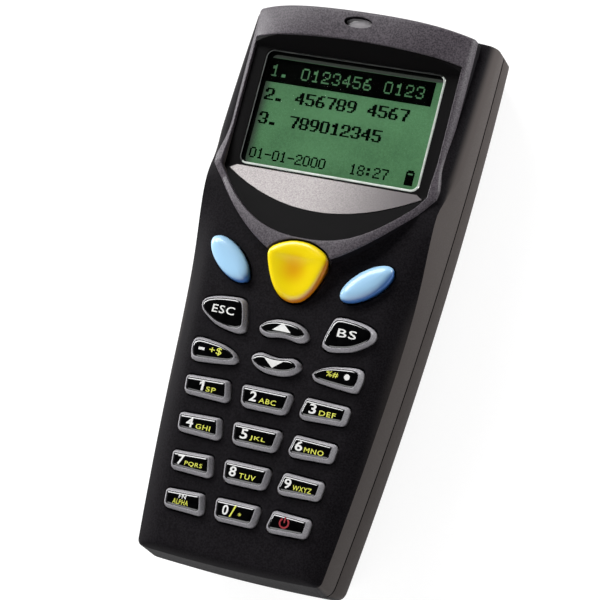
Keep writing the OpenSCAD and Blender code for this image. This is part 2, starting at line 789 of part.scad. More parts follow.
module display_bezel() {
    color("#121213") difference() {
        intersection() {
            slab(recess_pts(-seat_fit), 0, far);
            under_crown(rim_sunk);
            along_x([[0, 0], [far, 0], [far, far], [recess_top - 0.2, face_z + crest - 0.3],
                     [brow_low, lens_top], [ramp_low, lens_top], [ramp_high, ramp_at(ramp_high)],
                     [0, ramp_at(ramp_high)]]);
            union() {
                over_cover();
                over_seat(seat_fit);
            }
        }
        slab(fillet(box_pts(lens_w + 2 * fit, lens_l + 2 * fit, lens_mid), lens_r + fit), lens_low, far);
        slab(fillet(box_pts(view_w, view_l, lens_mid), lens_r / 2), 0, far);
        // the name plate's shallow seat
        plate_solid(seat_fit, plate_t + 1);
        slab(box_pts(bed_w + 2 * bed_fit, bed_l + 2 * bed_fit, lens_mid), 0, lcd_top + fit);
    }
}

plate_l = 8.2; // of the name plate below the window, at the middle
plate_low = lens_y - plate_l;
plate_tip = [recess_half - 1.5, lens_y - 1.4];
plate_bite = 0.25;
plate_corner = 1.4;
plate_edge = [for (i = [-8:8]) let (x = plate_tip.x * i / 8)
    [x, plate_low + (plate_tip.y - plate_low) * pow(abs(x) / plate_tip.x, 2)]];
plate_pts = concat(plate_edge, [[plate_tip.x - plate_corner, ramp_low],
                                [plate_corner - plate_tip.x, ramp_low]]);

// Slice along the ramp below the display, with the name plate's outline
module plate_solid(grown, up) {
    intersection() {
        slab(grow(plate_pts, grown), 0, far);
        along_x([[0, ramp_at(0) - plate_bite], [ramp_low + 1, ramp_at(ramp_low + 1) - plate_bite],
                 [ramp_low + 1, ramp_at(ramp_low + 1) + up], [0, ramp_at(0) + up]]);
    }
}

module name_plate() { color("silver") plate_solid(0, plate_t - plate_bite); }

module display_lens() {
    color("#5d8a61") slab(fillet(box_pts(lens_w, lens_l, lens_mid), lens_r), lens_low, lens_top);
}

module lcd_panel() {
    color("#4f7f55") slab(box_pts(bed_w, bed_l, lens_mid), lcd_low, lcd_top);
}

module lcd_backlight() {
    color("white") slab(box_pts(bed_w, bed_l, lens_mid), board_z, lcd_low);
}

led_t = 0.8;
module status_light() {
    color("#a8a4a6") slab(lamp_pts(0), board_z + led_t + fit, face_z + crest - lamp_sink);
}

module status_led() { color("white") block(0, lamp_y, board_z, 2 * led_t, 1.5 * led_t, led_t); }

// ---------- inside ----------

board_in = wall + 0.6;
board_side = board_in + 0.6;
board_tail = board_in + tail_in;
board_head = board_in + 0.4;
module boss_holes() {
    for (p = screws) translate([p.x, p.y, 0]) cylinder(r = post_r + fit, h = far);
}

module main_board() {
    color("#1f5a34") difference() {
        slab(outline(board_side, board_tail, board_head), board_z - board_t, board_z);
        boss_holes();
    }
}

mat_high = lens_mid - bed_l / 2 - 1;
dome_r = plunger_r + 0.3;
module at_keys() {
    for (n = key_names) let (c = mean(key_pts(n, 0))) translate([c.x, c.y, board_z]) children();
}

module keypad_mat() {
    color("#55585c") difference() {
        intersection() {
            slab(outline(board_side + 1, board_tail + 1, board_head), board_z, board_z + mat_t);
            block(0, (mat_high - far) / 2, 0, 2 * far, mat_high + far, far);
        }
        at_keys() translate([0, 0, -eps]) cylinder(r = dome_r + 0.3, h = far);
        boss_holes();
    }
}

module key_domes() {
    color("goldenrod") at_keys() cylinder(r = dome_r, h = dome_t);
}

buzzer_r = 5.5;
buzzer_t = 8.5;
module buzzer() {
    color("#18181a") translate([buzzer_at.x, buzzer_at.y, board_z - board_t - buzzer_t]) difference() {
        cylinder(r = buzzer_r, h = buzzer_t);
        // the mouth faces the holes in the back
        translate([0, 0, -eps]) cylinder(r = buzzer_r / 5, h = buzzer_t / 5);
    }
}

backup_r = 6.2;
backup_t = 2.1;
module backup_cell() {
    color("gainsboro") translate([backup_at.x, backup_at.y, board_z - board_t - backup_t])
        cylinder(r = backup_r, h = backup_t);
}

chassis_in = 1.5;
chassis_w = scan_w - 2 * chassis_in;
chassis_l = 17;
chassis_y = window_y - 2.2 - chassis_l / 2;
chassis_t = 1.2;
chassis_z = scan_z - scan_h / 2 - 1.4;
chassis_h = board_z - board_t - chassis_z;
module scan_chassis() {
    color("#6d7073") difference() {
        block(0, chassis_y, chassis_z, chassis_w, chassis_l, chassis_h);
        block(0, chassis_y + chassis_t, chassis_z + chassis_t,
              chassis_w - 2 * chassis_t, chassis_l, chassis_h - 2 * chassis_t);
    }
}

sensor_t = 1;
sensor_in = 3;
sensor_y = chassis_y - chassis_l / 2 + chassis_t;
module scan_sensor() {
    color("#1f5a34") block(0, sensor_y + sensor_t / 2, chassis_z + chassis_t,
                            chassis_w - 2 * sensor_in, sensor_t, chassis_h - 2 * chassis_t);
}

barrel_r = 4;
barrel_l = 7;
module scan_lens() {
    color("#18181a") translate([0, sensor_y + sensor_t, scan_z]) rotate([-90, 0, 0]) difference() {
        cylinder(r = barrel_r, h = barrel_l);
        translate([0, 0, 0.6 * barrel_l]) cylinder(r = 0.65 * barrel_r, h = barrel_l);
    }
}

module scan_window() {
    color("#3a0d10") scan_opening(window_rim, window_y, window_y + scan_t - fit);
}

ir_y = -end_y + 0.7;
module ir_window() {
    color("#1b0a14") ir_opening(-fit, ir_y, ir_y + ir_t);
}

module ir_module() {
    deep = 3;
    side = 1; // inset of the module from the window's ends
    low = ir_z - ir_h / 2 + fit;
    color("#202022") block(0, ir_y + ir_t + slide_fit + deep / 2, low,
                            ir_w - 2 * side, deep, board_z - board_t - low);
}

cell_body = cell_l - 0.8;
nub_r = 1.9;
module aaa_cells() {
    color("#9aa0a6") for (s = [-1, 1]) at_contact(s) translate([0, 0, contact_room]) {
        cylinder(d = cell_d, h = cell_body);
        cylinder(r = nub_r, h = cell_l);
    }
}

spring_r = 2.8;
spring_taper = 1.5;
spring_wire = 0.25;
spring_turns = 3;
spring_steps = 12;
wire_sides = 6;
contact_t = 0.4;
// One sprung contact: a cone of wire that the flat end of a cell leans on
module contact_spring() {
    n = spring_turns * spring_steps;
    room = contact_room - contact_t - 2 * spring_wire;
    turns = [for (i = [0:n])
        let (a = 360 * i / spring_steps, r = spring_r - spring_taper * i / n,
             z = contact_t + spring_wire + room * i / n)
        [for (k = [0:wire_sides - 1]) let (b = 360 * k / wire_sides, out = r + spring_wire * cos(b))
            [out * cos(a), out * sin(a), z + spring_wire * sin(b)]]];
    polyhedron(
        points = [for (t = turns, p = t) p],
        faces = concat(
            [[for (k = [0:wire_sides - 1]) k]],
            [for (i = [0:n - 1], k = [0:wire_sides - 1], h = [0, 1])
                let (j = (k + 1) % wire_sides, a = i * wire_sides + k, b = i * wire_sides + j)
                h == 0 ? [a, a + wire_sides, b + wire_sides] : [a, b + wire_sides, b]],
            [[for (k = [wire_sides - 1:-1:0]) n * wire_sides + k]]));
}

// The springs stand at opposite ends of the two cells
module at_contact(s) {
    translate([s * cell_x, cell_y + cell_l / 2, cell_z]) rotate([-90 * s, 0, 0])
        translate([0, 0, -cell_l / 2 - contact_room]) children();
}

module cell_springs() {
    color("silver") for (s = [-1, 1]) at_contact(s) contact_spring();
}

module cell_plates() {
    side = 8;
    color("silver") for (s = [-1, 1], end = [0, 1]) at_contact(s)
        translate([-side / 2, -side / 2, end * (cell_l + contact_room)])
            cube([side, side, end == 0 ? contact_t : contact_room]);
}

module housing_screws() {
    slot_w = 0.5;
    color("#8d9094") for (p = screws) {
        seat = abs(p.y - head_screw.y) < 1 ? head_seat : tail_seat;
        tip = seam_at(p.y) + 0.9 * thread_l;
        translate([p.x, p.y, 0]) difference() {
            union() {
                translate([0, 0, seat - screw_head_t]) cylinder(r = screw_head_r, h = screw_head_t);
                translate([0, 0, seat - eps]) cylinder(r = screw_r, h = tip - seat);
            }
            for (a = [0, 90]) rotate([0, 0, a])
                block(0, 0, seat - screw_head_t - eps, 1.2 * screw_head_r, slot_w, screw_head_t / 2);
        }
    }
}

front_cover();
rear_cover();
seam_gasket();
head_frame();
display_bezel();
name_plate();
display_lens();
lcd_panel();
lcd_backlight();
status_light();
status_led();
main_board();
keypad_mat();
key_domes();
buzzer();
backup_cell();
scan_window();
scan_chassis();
scan_lens();
scan_sensor();
ir_window();
ir_module();
aaa_cells();
cell_springs();
cell_plates();
housing_screws();
battery_door();
key_scan();
key_left();
key_right();
key_esc();
key_back();
key_up();
key_down();
key_minus();
key_point();
small_key("1");  // key_1
small_key("2");  // key_2
small_key("3");  // key_3
small_key("4");  // key_4
small_key("5");  // key_5
small_key("6");  // key_6
small_key("7");  // key_7
small_key("8");  // key_8
small_key("9");  // key_9
small_key("fn");  // key_fn
small_key("0");  // key_0
small_key("power");  // key_power
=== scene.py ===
"""Looks of the portable data terminal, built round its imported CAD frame.

Shapes are drawn in millimetres, in the frame of the CAD, and scaled to metres when a piece is made.
"""

import math

import bpy
import numpy as np
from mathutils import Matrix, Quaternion, Vector


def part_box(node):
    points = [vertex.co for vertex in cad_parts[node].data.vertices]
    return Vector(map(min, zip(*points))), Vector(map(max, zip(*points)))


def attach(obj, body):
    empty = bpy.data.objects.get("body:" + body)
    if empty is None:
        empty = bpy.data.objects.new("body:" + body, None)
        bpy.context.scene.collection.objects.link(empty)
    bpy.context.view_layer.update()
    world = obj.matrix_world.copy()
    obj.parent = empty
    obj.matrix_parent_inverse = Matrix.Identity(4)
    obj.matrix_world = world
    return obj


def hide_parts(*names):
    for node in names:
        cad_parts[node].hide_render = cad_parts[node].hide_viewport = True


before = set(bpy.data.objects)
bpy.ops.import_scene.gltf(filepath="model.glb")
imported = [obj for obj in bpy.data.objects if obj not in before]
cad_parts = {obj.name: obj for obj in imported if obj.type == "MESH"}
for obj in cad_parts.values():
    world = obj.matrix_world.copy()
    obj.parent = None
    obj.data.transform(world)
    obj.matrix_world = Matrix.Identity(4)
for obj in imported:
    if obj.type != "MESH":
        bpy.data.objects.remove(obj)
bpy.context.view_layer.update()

MM = 0.001
# How far cutters reach past the case, and how far they overlap what they meet, so that no two faces coincide
BEYOND, HAIR = 80.0, 0.01

# ---------- camera and light -----------------

camera = bpy.data.objects.new("camera", bpy.data.cameras.new("camera"))
camera.data.lens = 137.99
camera.data.clip_start = 0.01
camera.location = (0.17501, -0.07805, 0.46610)
camera.rotation_mode = "QUATERNION"
camera.rotation_quaternion = Quaternion((0.9731520, 0.1011126, 0.1754542, 0.1093945))
bpy.context.scene.collection.objects.link(camera)
bpy.context.scene.camera = camera
bpy.context.scene.view_settings.view_transform = "Standard"


def linear(code):
    """Linear colour of an sRGB hex code, with full alpha."""
    parts = [int(code[i : i + 2], 16) / 255 for i in (1, 3, 5)]
    return [c / 12.92 if c <= 0.04045 else ((c + 0.055) / 1.055) ** 2.4 for c in parts] + [1]


def add(material, kind, inputs=(), stops=(), **settings):
    """Adds a node and gives its outputs. An input is given a value or another node's output, and a colour
    ramp its stops, each as its place and its code."""
    made = material.node_tree.nodes.new(kind)
    for name, value in settings.items():
        setattr(made, name, value)
    for name, value in dict(inputs).items():
        if isinstance(value, bpy.types.NodeSocket):
            material.node_tree.links.new(value, made.inputs[name])
        else:
            made.inputs[name].default_value = value
    for i, (place, code) in enumerate(stops):
        ramp = made.color_ramp.elements
        stop = ramp[i] if i < 2 else ramp.new(place)
        stop.position, stop.color = place, linear(code)
    return made.outputs


def blank(name):
    """A material with only its output, and the coordinates that its patterns run on."""
    material = bpy.data.materials.new(name)
    material.use_nodes = True
    material.node_tree.nodes.clear()
    return material, add(material, "ShaderNodeTexCoord")["Object"]


def close(material, kind, inputs):
    """Ends a material with its shader."""
    shader = add(material, kind, inputs)[0]
    add(material, "ShaderNodeOutputMaterial", {"Surface": shader})
    return material


def per_mm(size):
    """Noise scale whose grains are so many millimetres across."""
    return 1 / (size * MM)


def lamp(name, place, aim, size, power):
    data = bpy.data.lights.new(name, "AREA")
    data.shape, data.size, data.size_y, data.energy = "RECTANGLE", size[0], size[1], power
    made = bpy.data.objects.new(name, data)
    made.location = place
    made.rotation_euler = (Vector(aim) - Vector(place)).to_track_quat("-Z", "Y").to_euler()
    bpy.context.scene.collection.objects.link(made)


AIM = (0, 0.01, 0.02)
lamp("window_light", (-0.50, 0.56, 0.54), AIM, (0.75, 0.40), 10.0)
lamp("front_light", (0.02, -0.55, 0.46), AIM, (0.80, 0.60), 3.0)
lamp("flank_light", (0.15, 0.13, 0.022), (0.02, 0.03, 0.012), (0.06, 0.04), 0.19)
lamp("left_light", (-0.30, 0.08, 0.06), (-0.02, 0.03, 0.025), (0.12, 0.06), 0.50)

world = bpy.data.worlds.new("light_tent")
bpy.context.scene.world = world
world.use_nodes = True
world.node_tree.nodes.clear()
way = add(world, "ShaderNodeTexCoord")["Generated"]
height = add(world, "ShaderNodeSeparateXYZ", {"Vector": way})["Z"]
sky = [(0.0, "#ffffff"), (0.3, "#e4e4e4"), (0.6, "#3a3a3a"), (1.0, "#1c1c1c")]
sky = add(world, "ShaderNodeValToRGB", {"Fac": height}, sky)[0]
light = add(world, "ShaderNodeBackground", {"Color": sky, "Strength": 0.22})
add(world, "ShaderNodeOutputWorld", {"Surface": light[0]})

# ---------- meshes ----------


def piece(name, points, faces, materials, body, slot=None, replaces=(), sharp=30, marks=None):
    """Makes one mesh piece from points in millimetres and puts it on its body."""
    mesh = bpy.data.meshes.new(name)
    points = [tuple(float(c) * MM for c in p) for p in points]
    mesh.from_pydata(points, [], [list(map(int, f)) for f in faces])
    mesh.validate()
    for m in materials:
        mesh.materials.append(m)
    if marks is not None:
        mesh.polygons.foreach_set("material_index", np.array(marks, np.int32))
    made = bpy.data.objects.new(name, mesh)
    bpy.context.scene.collection.objects.link(made)
    shade(made, sharp)
    if body:
        settle(made, body, replaces)
    return made


def shade(made, sharp=30):
    made.data.shade_smooth()
    made.data.set_sharp_from_angle(angle=math.radians(sharp))


def settle(made, body, replaces=()):
    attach(made, body)
    if replaces:
        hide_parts(*replaces)


def loft(rings, ends="both"):
    """Points and faces of a skin through rings of as many points; ends is both, none or round."""
    n = len(rings[0])
    points = np.vstack(rings)
    faces = []
    last = len(rings) - 1
    for k in range(last + (ends == "round")):
        low, high = k * n, (k + 1) % len(rings) * n
        faces += [(low + i, low + (i + 1) % n, high + (i + 1) % n, high + i) for i in range(n)]
    if ends == "both":
        faces.append(tuple(range(n - 1, -1, -1)))
        faces.append(tuple(last * n + i for i in range(n)))
    return points, faces


def rungs(n, first, up):
    """Strips across a ring that is a mirror image about X = 0, which close it without a bump."""
    half = n // 2
    faces = []
    for i in range(half):
        a, b = first + i, first + i + 1
        c, d = first + (n - i - 1) % n, first + (n - i) % n
        quad = [a, b, c, d] if up else [d, c, b, a]
        faces.append(tuple(dict.fromkeys(quad)))
    return faces


def shell_loft(rings):
    points, faces = loft(rings, "none")
    n = len(rings[0])
    return points, faces + rungs(n, 0, False) + rungs(n, (len(rings) - 1) * n, True)


def prism(outline, low, high):
    flat = np.asarray(outline, float)
    return loft([np.c_[flat, np.full(len(flat), z)] for z in (low, high)])


def cut(made, *tools, operation="DIFFERENCE"):
    """Cuts a piece with solids, each given as (points, faces) or as an object, which is used up."""
    helpers = []
    for tool in tools:
        helper = tool if isinstance(tool, bpy.types.Object) else piece("cutter", *tool, [], None)
        helpers.append(helper)
        step = made.modifiers.new("cut", "BOOLEAN")
        step.operation, step.object, step.solver = operation, helper, "MANIFOLD"
    bpy.context.view_layer.update()
    graph = bpy.context.evaluated_depsgraph_get()
    mesh = bpy.data.meshes.new_from_object(made.evaluated_get(graph))
    made.modifiers.clear()
    old, made.data = made.data, mesh
    bpy.data.meshes.remove(old)
    for helper in helpers:
        bpy.data.objects.remove(helper)
    shade(made)
    return made


def corners(w, l):
    """Corners of a rectangle about the origin, counter-clockwise."""
    return np.array([[w, -l], [w, l], [-w, l], [-w, -l]]) / 2


def block(x, y, z, w, l, h):
    """Box centred on x and y, from z up."""
    return prism(corners(w, l) + [x, y], z, z + h)


def column(x, y, r, low, high, steps=32):
    t = np.linspace(0, 2 * math.pi, steps, endpoint=False)
    return prism(np.c_[x + r * np.cos(t), y + r * np.sin(t)], low, high)


def across(flat, axis, start=-BEYOND, end=BEYOND):
    """Prism along X or Y from an outline in the other two axes, (y, z) or (x, z)."""
    flat = np.asarray(flat, float)
    turn = np.roll(flat, -1, 0)
    area = (flat[:, 0] * turn[:, 1] - turn[:, 0] * flat[:, 1]).sum() * (1 if axis == "X" else -1)
    flat = flat if area > 0 else flat[::-1]
    ends = []
    for at in (start, end):
        level = np.full(len(flat), at)
        ends.append(np.c_[level, flat] if axis == "X" else np.c_[flat[:, 0], level, flat[:, 1]])
    return loft(ends)


def whole(half):
    """A half outline, from its lowest point to its highest, and its mirror image."""
    half = np.asarray(half, float)
    return np.vstack([half, half[-2:0:-1] * [-1, 1]])


# ---------- sizes, as the CAD has them except at the tail end ----------

END = 61.0
HEAD_W, TAIL_W, BOW = 55.8, 41.8, 1.95
HEAD_ARCH, TAIL_ARCH = 1.4, 0.6
# At the tail end the corners are sharper, and the crease of the face lies further out, than in the CAD
HEAD_CORNER, TAIL_CORNER, LEAST_CORNER = 0.8, 2.4, 0.6
FLANK_IN, FLANK_LEAN, TAIL_IN = 0.9, 0.5, 1.1
FACE = 28.5
WALL = 1.8
SEAM, SEAM_FALL, SEAM_GAP = 17.1, 0.025, 0.5
ROLL_W, ROLL_DROP, TAIL_DROP, TAIL_ROLL = 5.8, 4.0, 2.3, 2.1
# Where the roll of the face starts to shrink towards the tail, and where and how fast it fades at the head
ROLL_SHRINK, ROLL_END, ROLL_FADE = -14, 20, 14
SHOULDER_LOW, SHOULDER_HIGH = 19, 32
CHINE, BAND_IN = 10.2, 0.2
BACK_SIDE, BACK_TAIL, BACK_HEAD = 4.4, 4.0, 2.4
CREST, CROWN_FALL, CROWN_HALF = 3.5, 4.8, 24.9
DECK, LEDGE_SLOPE = 22.5, 0.14
RECESS_HALF, RECESS_TOP, RECESS_SIDE = 23.4, 53.4, 52.2
LENS_W, LENS_L, LENS_Y, LENS_TOP, LENS_T = 41.0, 25.8, 24.4, 27.3, 1.2
LENS_MID = LENS_Y + LENS_L / 2
LAMP_Y, LAMP_W, LAMP_L = 57.4, 6.2, 2.3
KEY_GAP, SIDE_RISE, SCAN_RISE = 0.3, 2.5, 3.9
DOOR = -1.0


def half_at(y):
    """Half the case's width, which bows out between the tail and the head."""
    t = y / END
    return (HEAD_W + TAIL_W) / 4 + BOW + (HEAD_W - TAIL_W) / 4 * t - BOW * t * t


def head_at(x):
    return END - HEAD_ARCH * (2 * x / HEAD_W) ** 2


def tail_at(x):
    return TAIL_ARCH * (2 * x / TAIL_W) ** 2 - END


def seam_at(y):
    return SEAM - SEAM_FALL * y


def smooth(t):
    """From 0 to 1 as t does, without a bend at its ends."""
    t = np.clip(t, 0, 1)
    return t * t * (3 - 2 * t)


def at_head(y):
    """0 beside the keys and 1 beside the display, with the shoulders between."""
    return smooth((y - SHOULDER_LOW) / (SHOULDER_HIGH - SHOULDER_LOW))


def ledge_at(y):
    """Height of the narrow ledge beside the head frame."""
    return FACE - LEDGE_SLOPE * np.maximum(0, y - DECK)


def roll_at(y):
    """How far the face rolls down to its edge beside the keys."""
    share = np.maximum(0, ROLL_SHRINK - y) / (END + ROLL_SHRINK)
    base = ROLL_DROP - (ROLL_DROP - TAIL_DROP) * share
    return base * (1 - np.exp(-(((y - ROLL_END) / ROLL_FADE) ** 2)))


def crown_at(x):
    return CREST - CROWN_FALL * np.minimum(1, (np.abs(x) / CROWN_HALF) ** 4)


def bend(a, c, b, steps):
    """Points of a quadratic curve from a to b."""
    t = np.linspace(0, 1, steps + 1)[:, None]
    return (1 - t) ** 2 * a + 2 * t * (1 - t) * c + t * t * b


def outline(side, tail, head, lean=lambda y: 0 * y, steps=(14, 7, 72)):
    """Outline of the case, set in by so much at its sides, tail and head."""
    ends, corner, sides = steps
    inset = lambda y: half_at(y) - side - lean(y)
    tr, hr = max(TAIL_CORNER - side, LEAST_CORNER), max(HEAD_CORNER - side, LEAST_CORNER)
    ty, hy = tail_at(TAIL_W / 2) + tail, head_at(HEAD_W / 2) - head
    tc, hc = np.array([inset(ty), ty]), np.array([inset(hy), hy])
    tb = np.array([tc[0] - tr, tail_at(tc[0] - tr) + tail])
    ta = np.array([inset(ty + tr), ty + tr])
    ha = np.array([inset(hy - hr), hy - hr])
    hb = np.array([hc[0] - hr, head_at(hc[0] - hr) - head])
    xs = np.linspace(0, tb[0], ends + 1)[:-1]
    ys = np.linspace(ta[1], ha[1], sides + 1)[1:-1]
    back = np.linspace(hb[0], 0, ends + 1)[1:]
    right = [np.c_[xs, tail_at(xs) + tail], bend(tb, tc, ta, corner), np.c_[inset(ys), ys]]
    right += [bend(ha, hc, hb, corner), np.c_[back, head_at(back) - head]]
    return whole(np.vstack(right))


def raised(flat, height):
    """Gives each point of an outline its height, from a number or a function of x and y."""
    z = height(flat[:, 0], flat[:, 1]) if callable(height) else np.full(len(flat), float(height))
    return np.c_[flat, z]


def even(inset):
    return outline(inset, inset, inset)


def face_ring(share, more=0.0):
    """Outline of the face at a share of its roll's width, set in by a little more."""
    inset = FLANK_IN + share * ROLL_W + more
    return outline(inset, TAIL_IN + share * TAIL_ROLL + more, inset, lambda y: FLANK_LEAN * y / END)


def grow(flat, d):
    """Moves each side of a counter-clockwise outline out by d."""
    along = np.roll(flat, -1, 0) - flat
    along /= np.linalg.norm(along, axis=1)[:, None]
    out = np.c_[along[:, 1], -along[:, 0]]
    before = np.roll(out, 1, 0)
    return flat + d * (out + before) / (1 + (out * before).sum(1))[:, None]


def fillet(flat, radii, steps=8):
    """Rounds the convex corners of a counter-clockwise outline, all alike or each by its own radius."""
    made = []
    for i, (p, r) in enumerate(zip(flat, np.broadcast_to(radii, len(flat)))):
        u = flat[i - 1] - p
        v = flat[(i + 1) % len(flat)] - p
        u, v = u / np.linalg.norm(u), v / np.linalg.norm(v)
        half = math.acos(float(u @ v)) / 2
        middle = (u + v) / np.linalg.norm(u + v)
        c = p + middle * r / math.sin(half)
        start = p + u * r / math.tan(half) - c
        turn = math.atan2(start[1], start[0])
        for k in range(steps + 1):
            a = turn + (math.pi - 2 * half) * k / steps
            made.append(c + r * np.array([math.cos(a), math.sin(a)]))
    return np.array(made)


def mirrored(flat):
    return np.asarray(flat)[::-1] * [-1, 1]


def rectangle(w, l, y, r):
    return fillet(corners(w, l) + [0, y], r)


def ellipse(x, y, a, b, turn=0.0, steps=64):
    t = np.linspace(0, 2 * math.pi, steps, endpoint=False)
    c, s = math.cos(turn), math.sin(turn)
    u, v = a * np.cos(t), b * np.sin(t)
    return np.c_[x + u * c - v * s, y + u * s + v * c]


# ---------- outlines of the keys ----------

# Points on the outlines of the keys on the right; those on the left mirror them
ESCAPE = [[8.75, -10.9], [9.4, -11.65], [10.7, -11.95], [13, -11.65], [15.5, -11], [17.7, -9.75]]
ESCAPE += [[19.2, -8.55], [19.7, -7.35], [19.4, -6.25], [18.1, -5.45], [15.9, -4.9], [13.2, -4.62]]
ESCAPE += [[11.3, -4.6], [10.2, -5.1], [9.55, -6.6], [8.95, -9]]
SYMBOL = [[8.4, -17.55], [9.1, -18.45], [10.7, -18.8], [13.1, -19.05], [15.5, -19.25], [17.6, -19.35]]
SYMBOL += [[18.65, -19], [19.15, -17.6], [19.3, -16], [18.95, -14.8], [17.9, -14.35], [16.2, -14.4]]
SYMBOL += [[14.3, -14.65], [12.4, -14.95], [10.7, -15.5], [9.4, -16.2], [8.6, -16.95]]
# Right halves of the up key and of the scan key, from the bottom up
ARROW = [[0, -11], [1.6, -11.15], [2.9, -11.4], [3.8, -11.42], [4.8, -11.05], [5.45, -10.4]]
ARROW += [[5.5, -9.65], [4.8, -8.75], [3.6, -8], [1.9, -7.5], [0, -7.4]]
SHIELD = [[0, -3.55], [0.9, -3.45], [2.2, -3], [3.5, -2], [4.6, -0.6], [5.45, 1], [6.05, 2.5]]
SHIELD += [[6.55, 4.1], [6.8, 5.6], [6.35, 6.75], [5.2, 7.7], [3.6, 8.45], [1.9, 8.95], [0, 9.1]]
ARROW_MID = -13.2
# How far to the right of its mirrored place each of these keys sits
SIDEWAYS = {"esc": 0.35, "back": 0.3, "minus": 0.15, "point": 0.2, "up": 0.2, "down": 0.2}
BLUE_LONG, BLUE_SHORT, BLUE_X, BLUE_Y, BLUE_TURN = 6.4, 3.0, 15.5, 3.1, math.radians(39.5)
NUMBERS = ["1", "2", "3", "4", "5", "6", "7", "8", "9", "fn", "0", "power"]
ROW_1, ROW_PITCH, KEY_HALF = -24.5, 8, 2.35
# Corner radii of the number keys in each column, in the order that number_key gives the corners
NUMBER_RADII = [[0.9, 0.9, 1.3, 1.3], [1.6, 0.9, 0.9, 1.6], [1.3, 1.3, 0.9, 0.9]]


def row_at(row):
    return ROW_1 - ROW_PITCH * row


def number_key(row, column):
    """Corners of a number key; the rows grow narrower towards the tail."""
    low, high = row_at(row) - KEY_HALF, row_at(row) + KEY_HALF
    if column == 1:
        top, foot = 5.8 - 0.25 * row, 5.1 - 0.2 * row
        return np.array([[foot, low], [top, high], [-top, high], [-foot, low]])
    inner = np.array([8.7, 7.6]) - 0.28 * row
    outer = np.array([18.6, 18.2]) - 0.72 * row
    flat = [[inner[1], low], [outer[1], low + 0.35], [outer[0], high - 0.35], [inner[0], high]]
    return np.array(flat) if column == 2 else mirrored(flat)


def curve(knots, steps=5):
    """Closed smooth curve through points."""
    p = np.asarray(knots, float)
    a, b, c, d = np.roll(p, 1, 0), p, np.roll(p, -1, 0), np.roll(p, -2, 0)
    t = (np.arange(steps) / steps)[None, :, None]
    a, b, c, d = (q[:, None, :] for q in (a, b, c, d))
    made = b + 0.5 * t * (c - a + t * (2 * a - 5 * b + 4 * c - d + t * (3 * (b - c) + d - a)))
    return made.reshape(-1, 2)


def swell(flat, d):
    """Stretches a rounded outline about its middle, so that it is d larger all round."""
    low, high = flat.min(0), flat.max(0)
    middle = (low + high) / 2
    return middle + (flat - middle) * (1 + 2 * d / (high - low))


def key_outline(name, d=0.0):
    """Outline of a key's widest part, d larger all round."""
    if name == "scan":
        return swell(curve(whole(SHIELD)), d)
    if name in ("left", "right"):
        flat = ellipse(BLUE_X, BLUE_Y, BLUE_LONG + d, BLUE_SHORT + d, BLUE_TURN)
        return flat if name == "right" else mirrored(flat)
    if name in ("esc", "back", "minus", "point"):
        flat = swell(curve(ESCAPE if name in ("esc", "back") else SYMBOL), d)
        return (flat if name in ("back", "point") else mirrored(flat)) + [SIDEWAYS[name], 0]
    if name in ("up", "down"):
        flat = swell(curve(whole(ARROW)), d) + [SIDEWAYS[name], 0]
        return flat if name == "up" else np.c_[flat[:, 0], 2 * ARROW_MID - flat[:, 1]][::-1]
    row, column = divmod(NUMBERS.index(name), 3)
    radii = np.array(NUMBER_RADII[column]) + d
    return fillet(grow(number_key(row, column), d), np.maximum(radii, 0.15))


KEYS = ["scan", "left", "right", "esc", "back", "up", "down", "minus", "point"] + NUMBERS

# ---------- materials ----------


def moulded(name, light, dark, rough, grit, depth, flank=None, gleam=0.5):
    """Even plastic, rubber or paint, whose fine grit breaks the shine up. The grit is drawn coarser than the
    real one, so that it shows. Where a colour is given for the flank, the steep sides are painted in it as
    painted light from the side, and it fades out over the rounded edges."""
    m, place = blank(name)
    grains = {"Vector": place, "Scale": per_mm(grit), "Detail": 1.0, "Roughness": 0.6}
    grains = add(m, "ShaderNodeTexNoise", grains)["Fac"]
    clouds = add(m, "ShaderNodeTexNoise", {"Vector": place, "Scale": per_mm(5.0), "Detail": 2.0})
    mixed = {0: clouds["Fac"], 1: 0.12, 2: grains}
    mixed = add(m, "ShaderNodeMath", mixed, operation="MULTIPLY_ADD")[0]
    colour = add(m, "ShaderNodeValToRGB", {"Fac": mixed}, [(0.42, dark), (0.70, light)])[0]
    if flank:
        facing = add(m, "ShaderNodeTexCoord")["Normal"]
        facing = add(m, "ShaderNodeSeparateXYZ", {"Vector": facing})
        wide = add(m, "ShaderNodeMath", {0: facing["X"]}, operation="ABSOLUTE")[0]
        low = {"Value": facing["Z"], "From Min": 0.75, "From Max": 0.3}
        low = add(m, "ShaderNodeMapRange", low, interpolation_type="SMOOTHSTEP")[0]
        out = {"Value": wide, "From Min": 0.35, "From Max": 0.8}
        out = add(m, "ShaderNodeMapRange", out, interpolation_type="SMOOTHSTEP")[0]
        # painted light: steep sides facing left or right take the flank colour, fading over the rounded
        # edges
        side_lit = add(m, "ShaderNodeMath", {0: low, 1: out}, operation="MULTIPLY")[0]
        both = {0: side_lit, 6: colour, 7: linear(flank)}
        colour = add(m, "ShaderNodeMix", both, data_type="RGBA")[2]
    shine = {"Value": grains, "From Min": 0.3, "From Max": 0.7}
    shine |= {"To Min": rough - 0.07, "To Max": rough + 0.07}
    bumps = {"Height": grains, "Strength": 0.6, "Distance": depth * MM}
    shader = {
        "Base Color": colour,
        "Roughness": add(m, "ShaderNodeMapRange", shine)[0],
        "Normal": add(m, "ShaderNodeBump", bumps)["Normal"],
        "Specular IOR Level": gleam,
    }
    return close(m, "ShaderNodeBsdfPrincipled", shader)
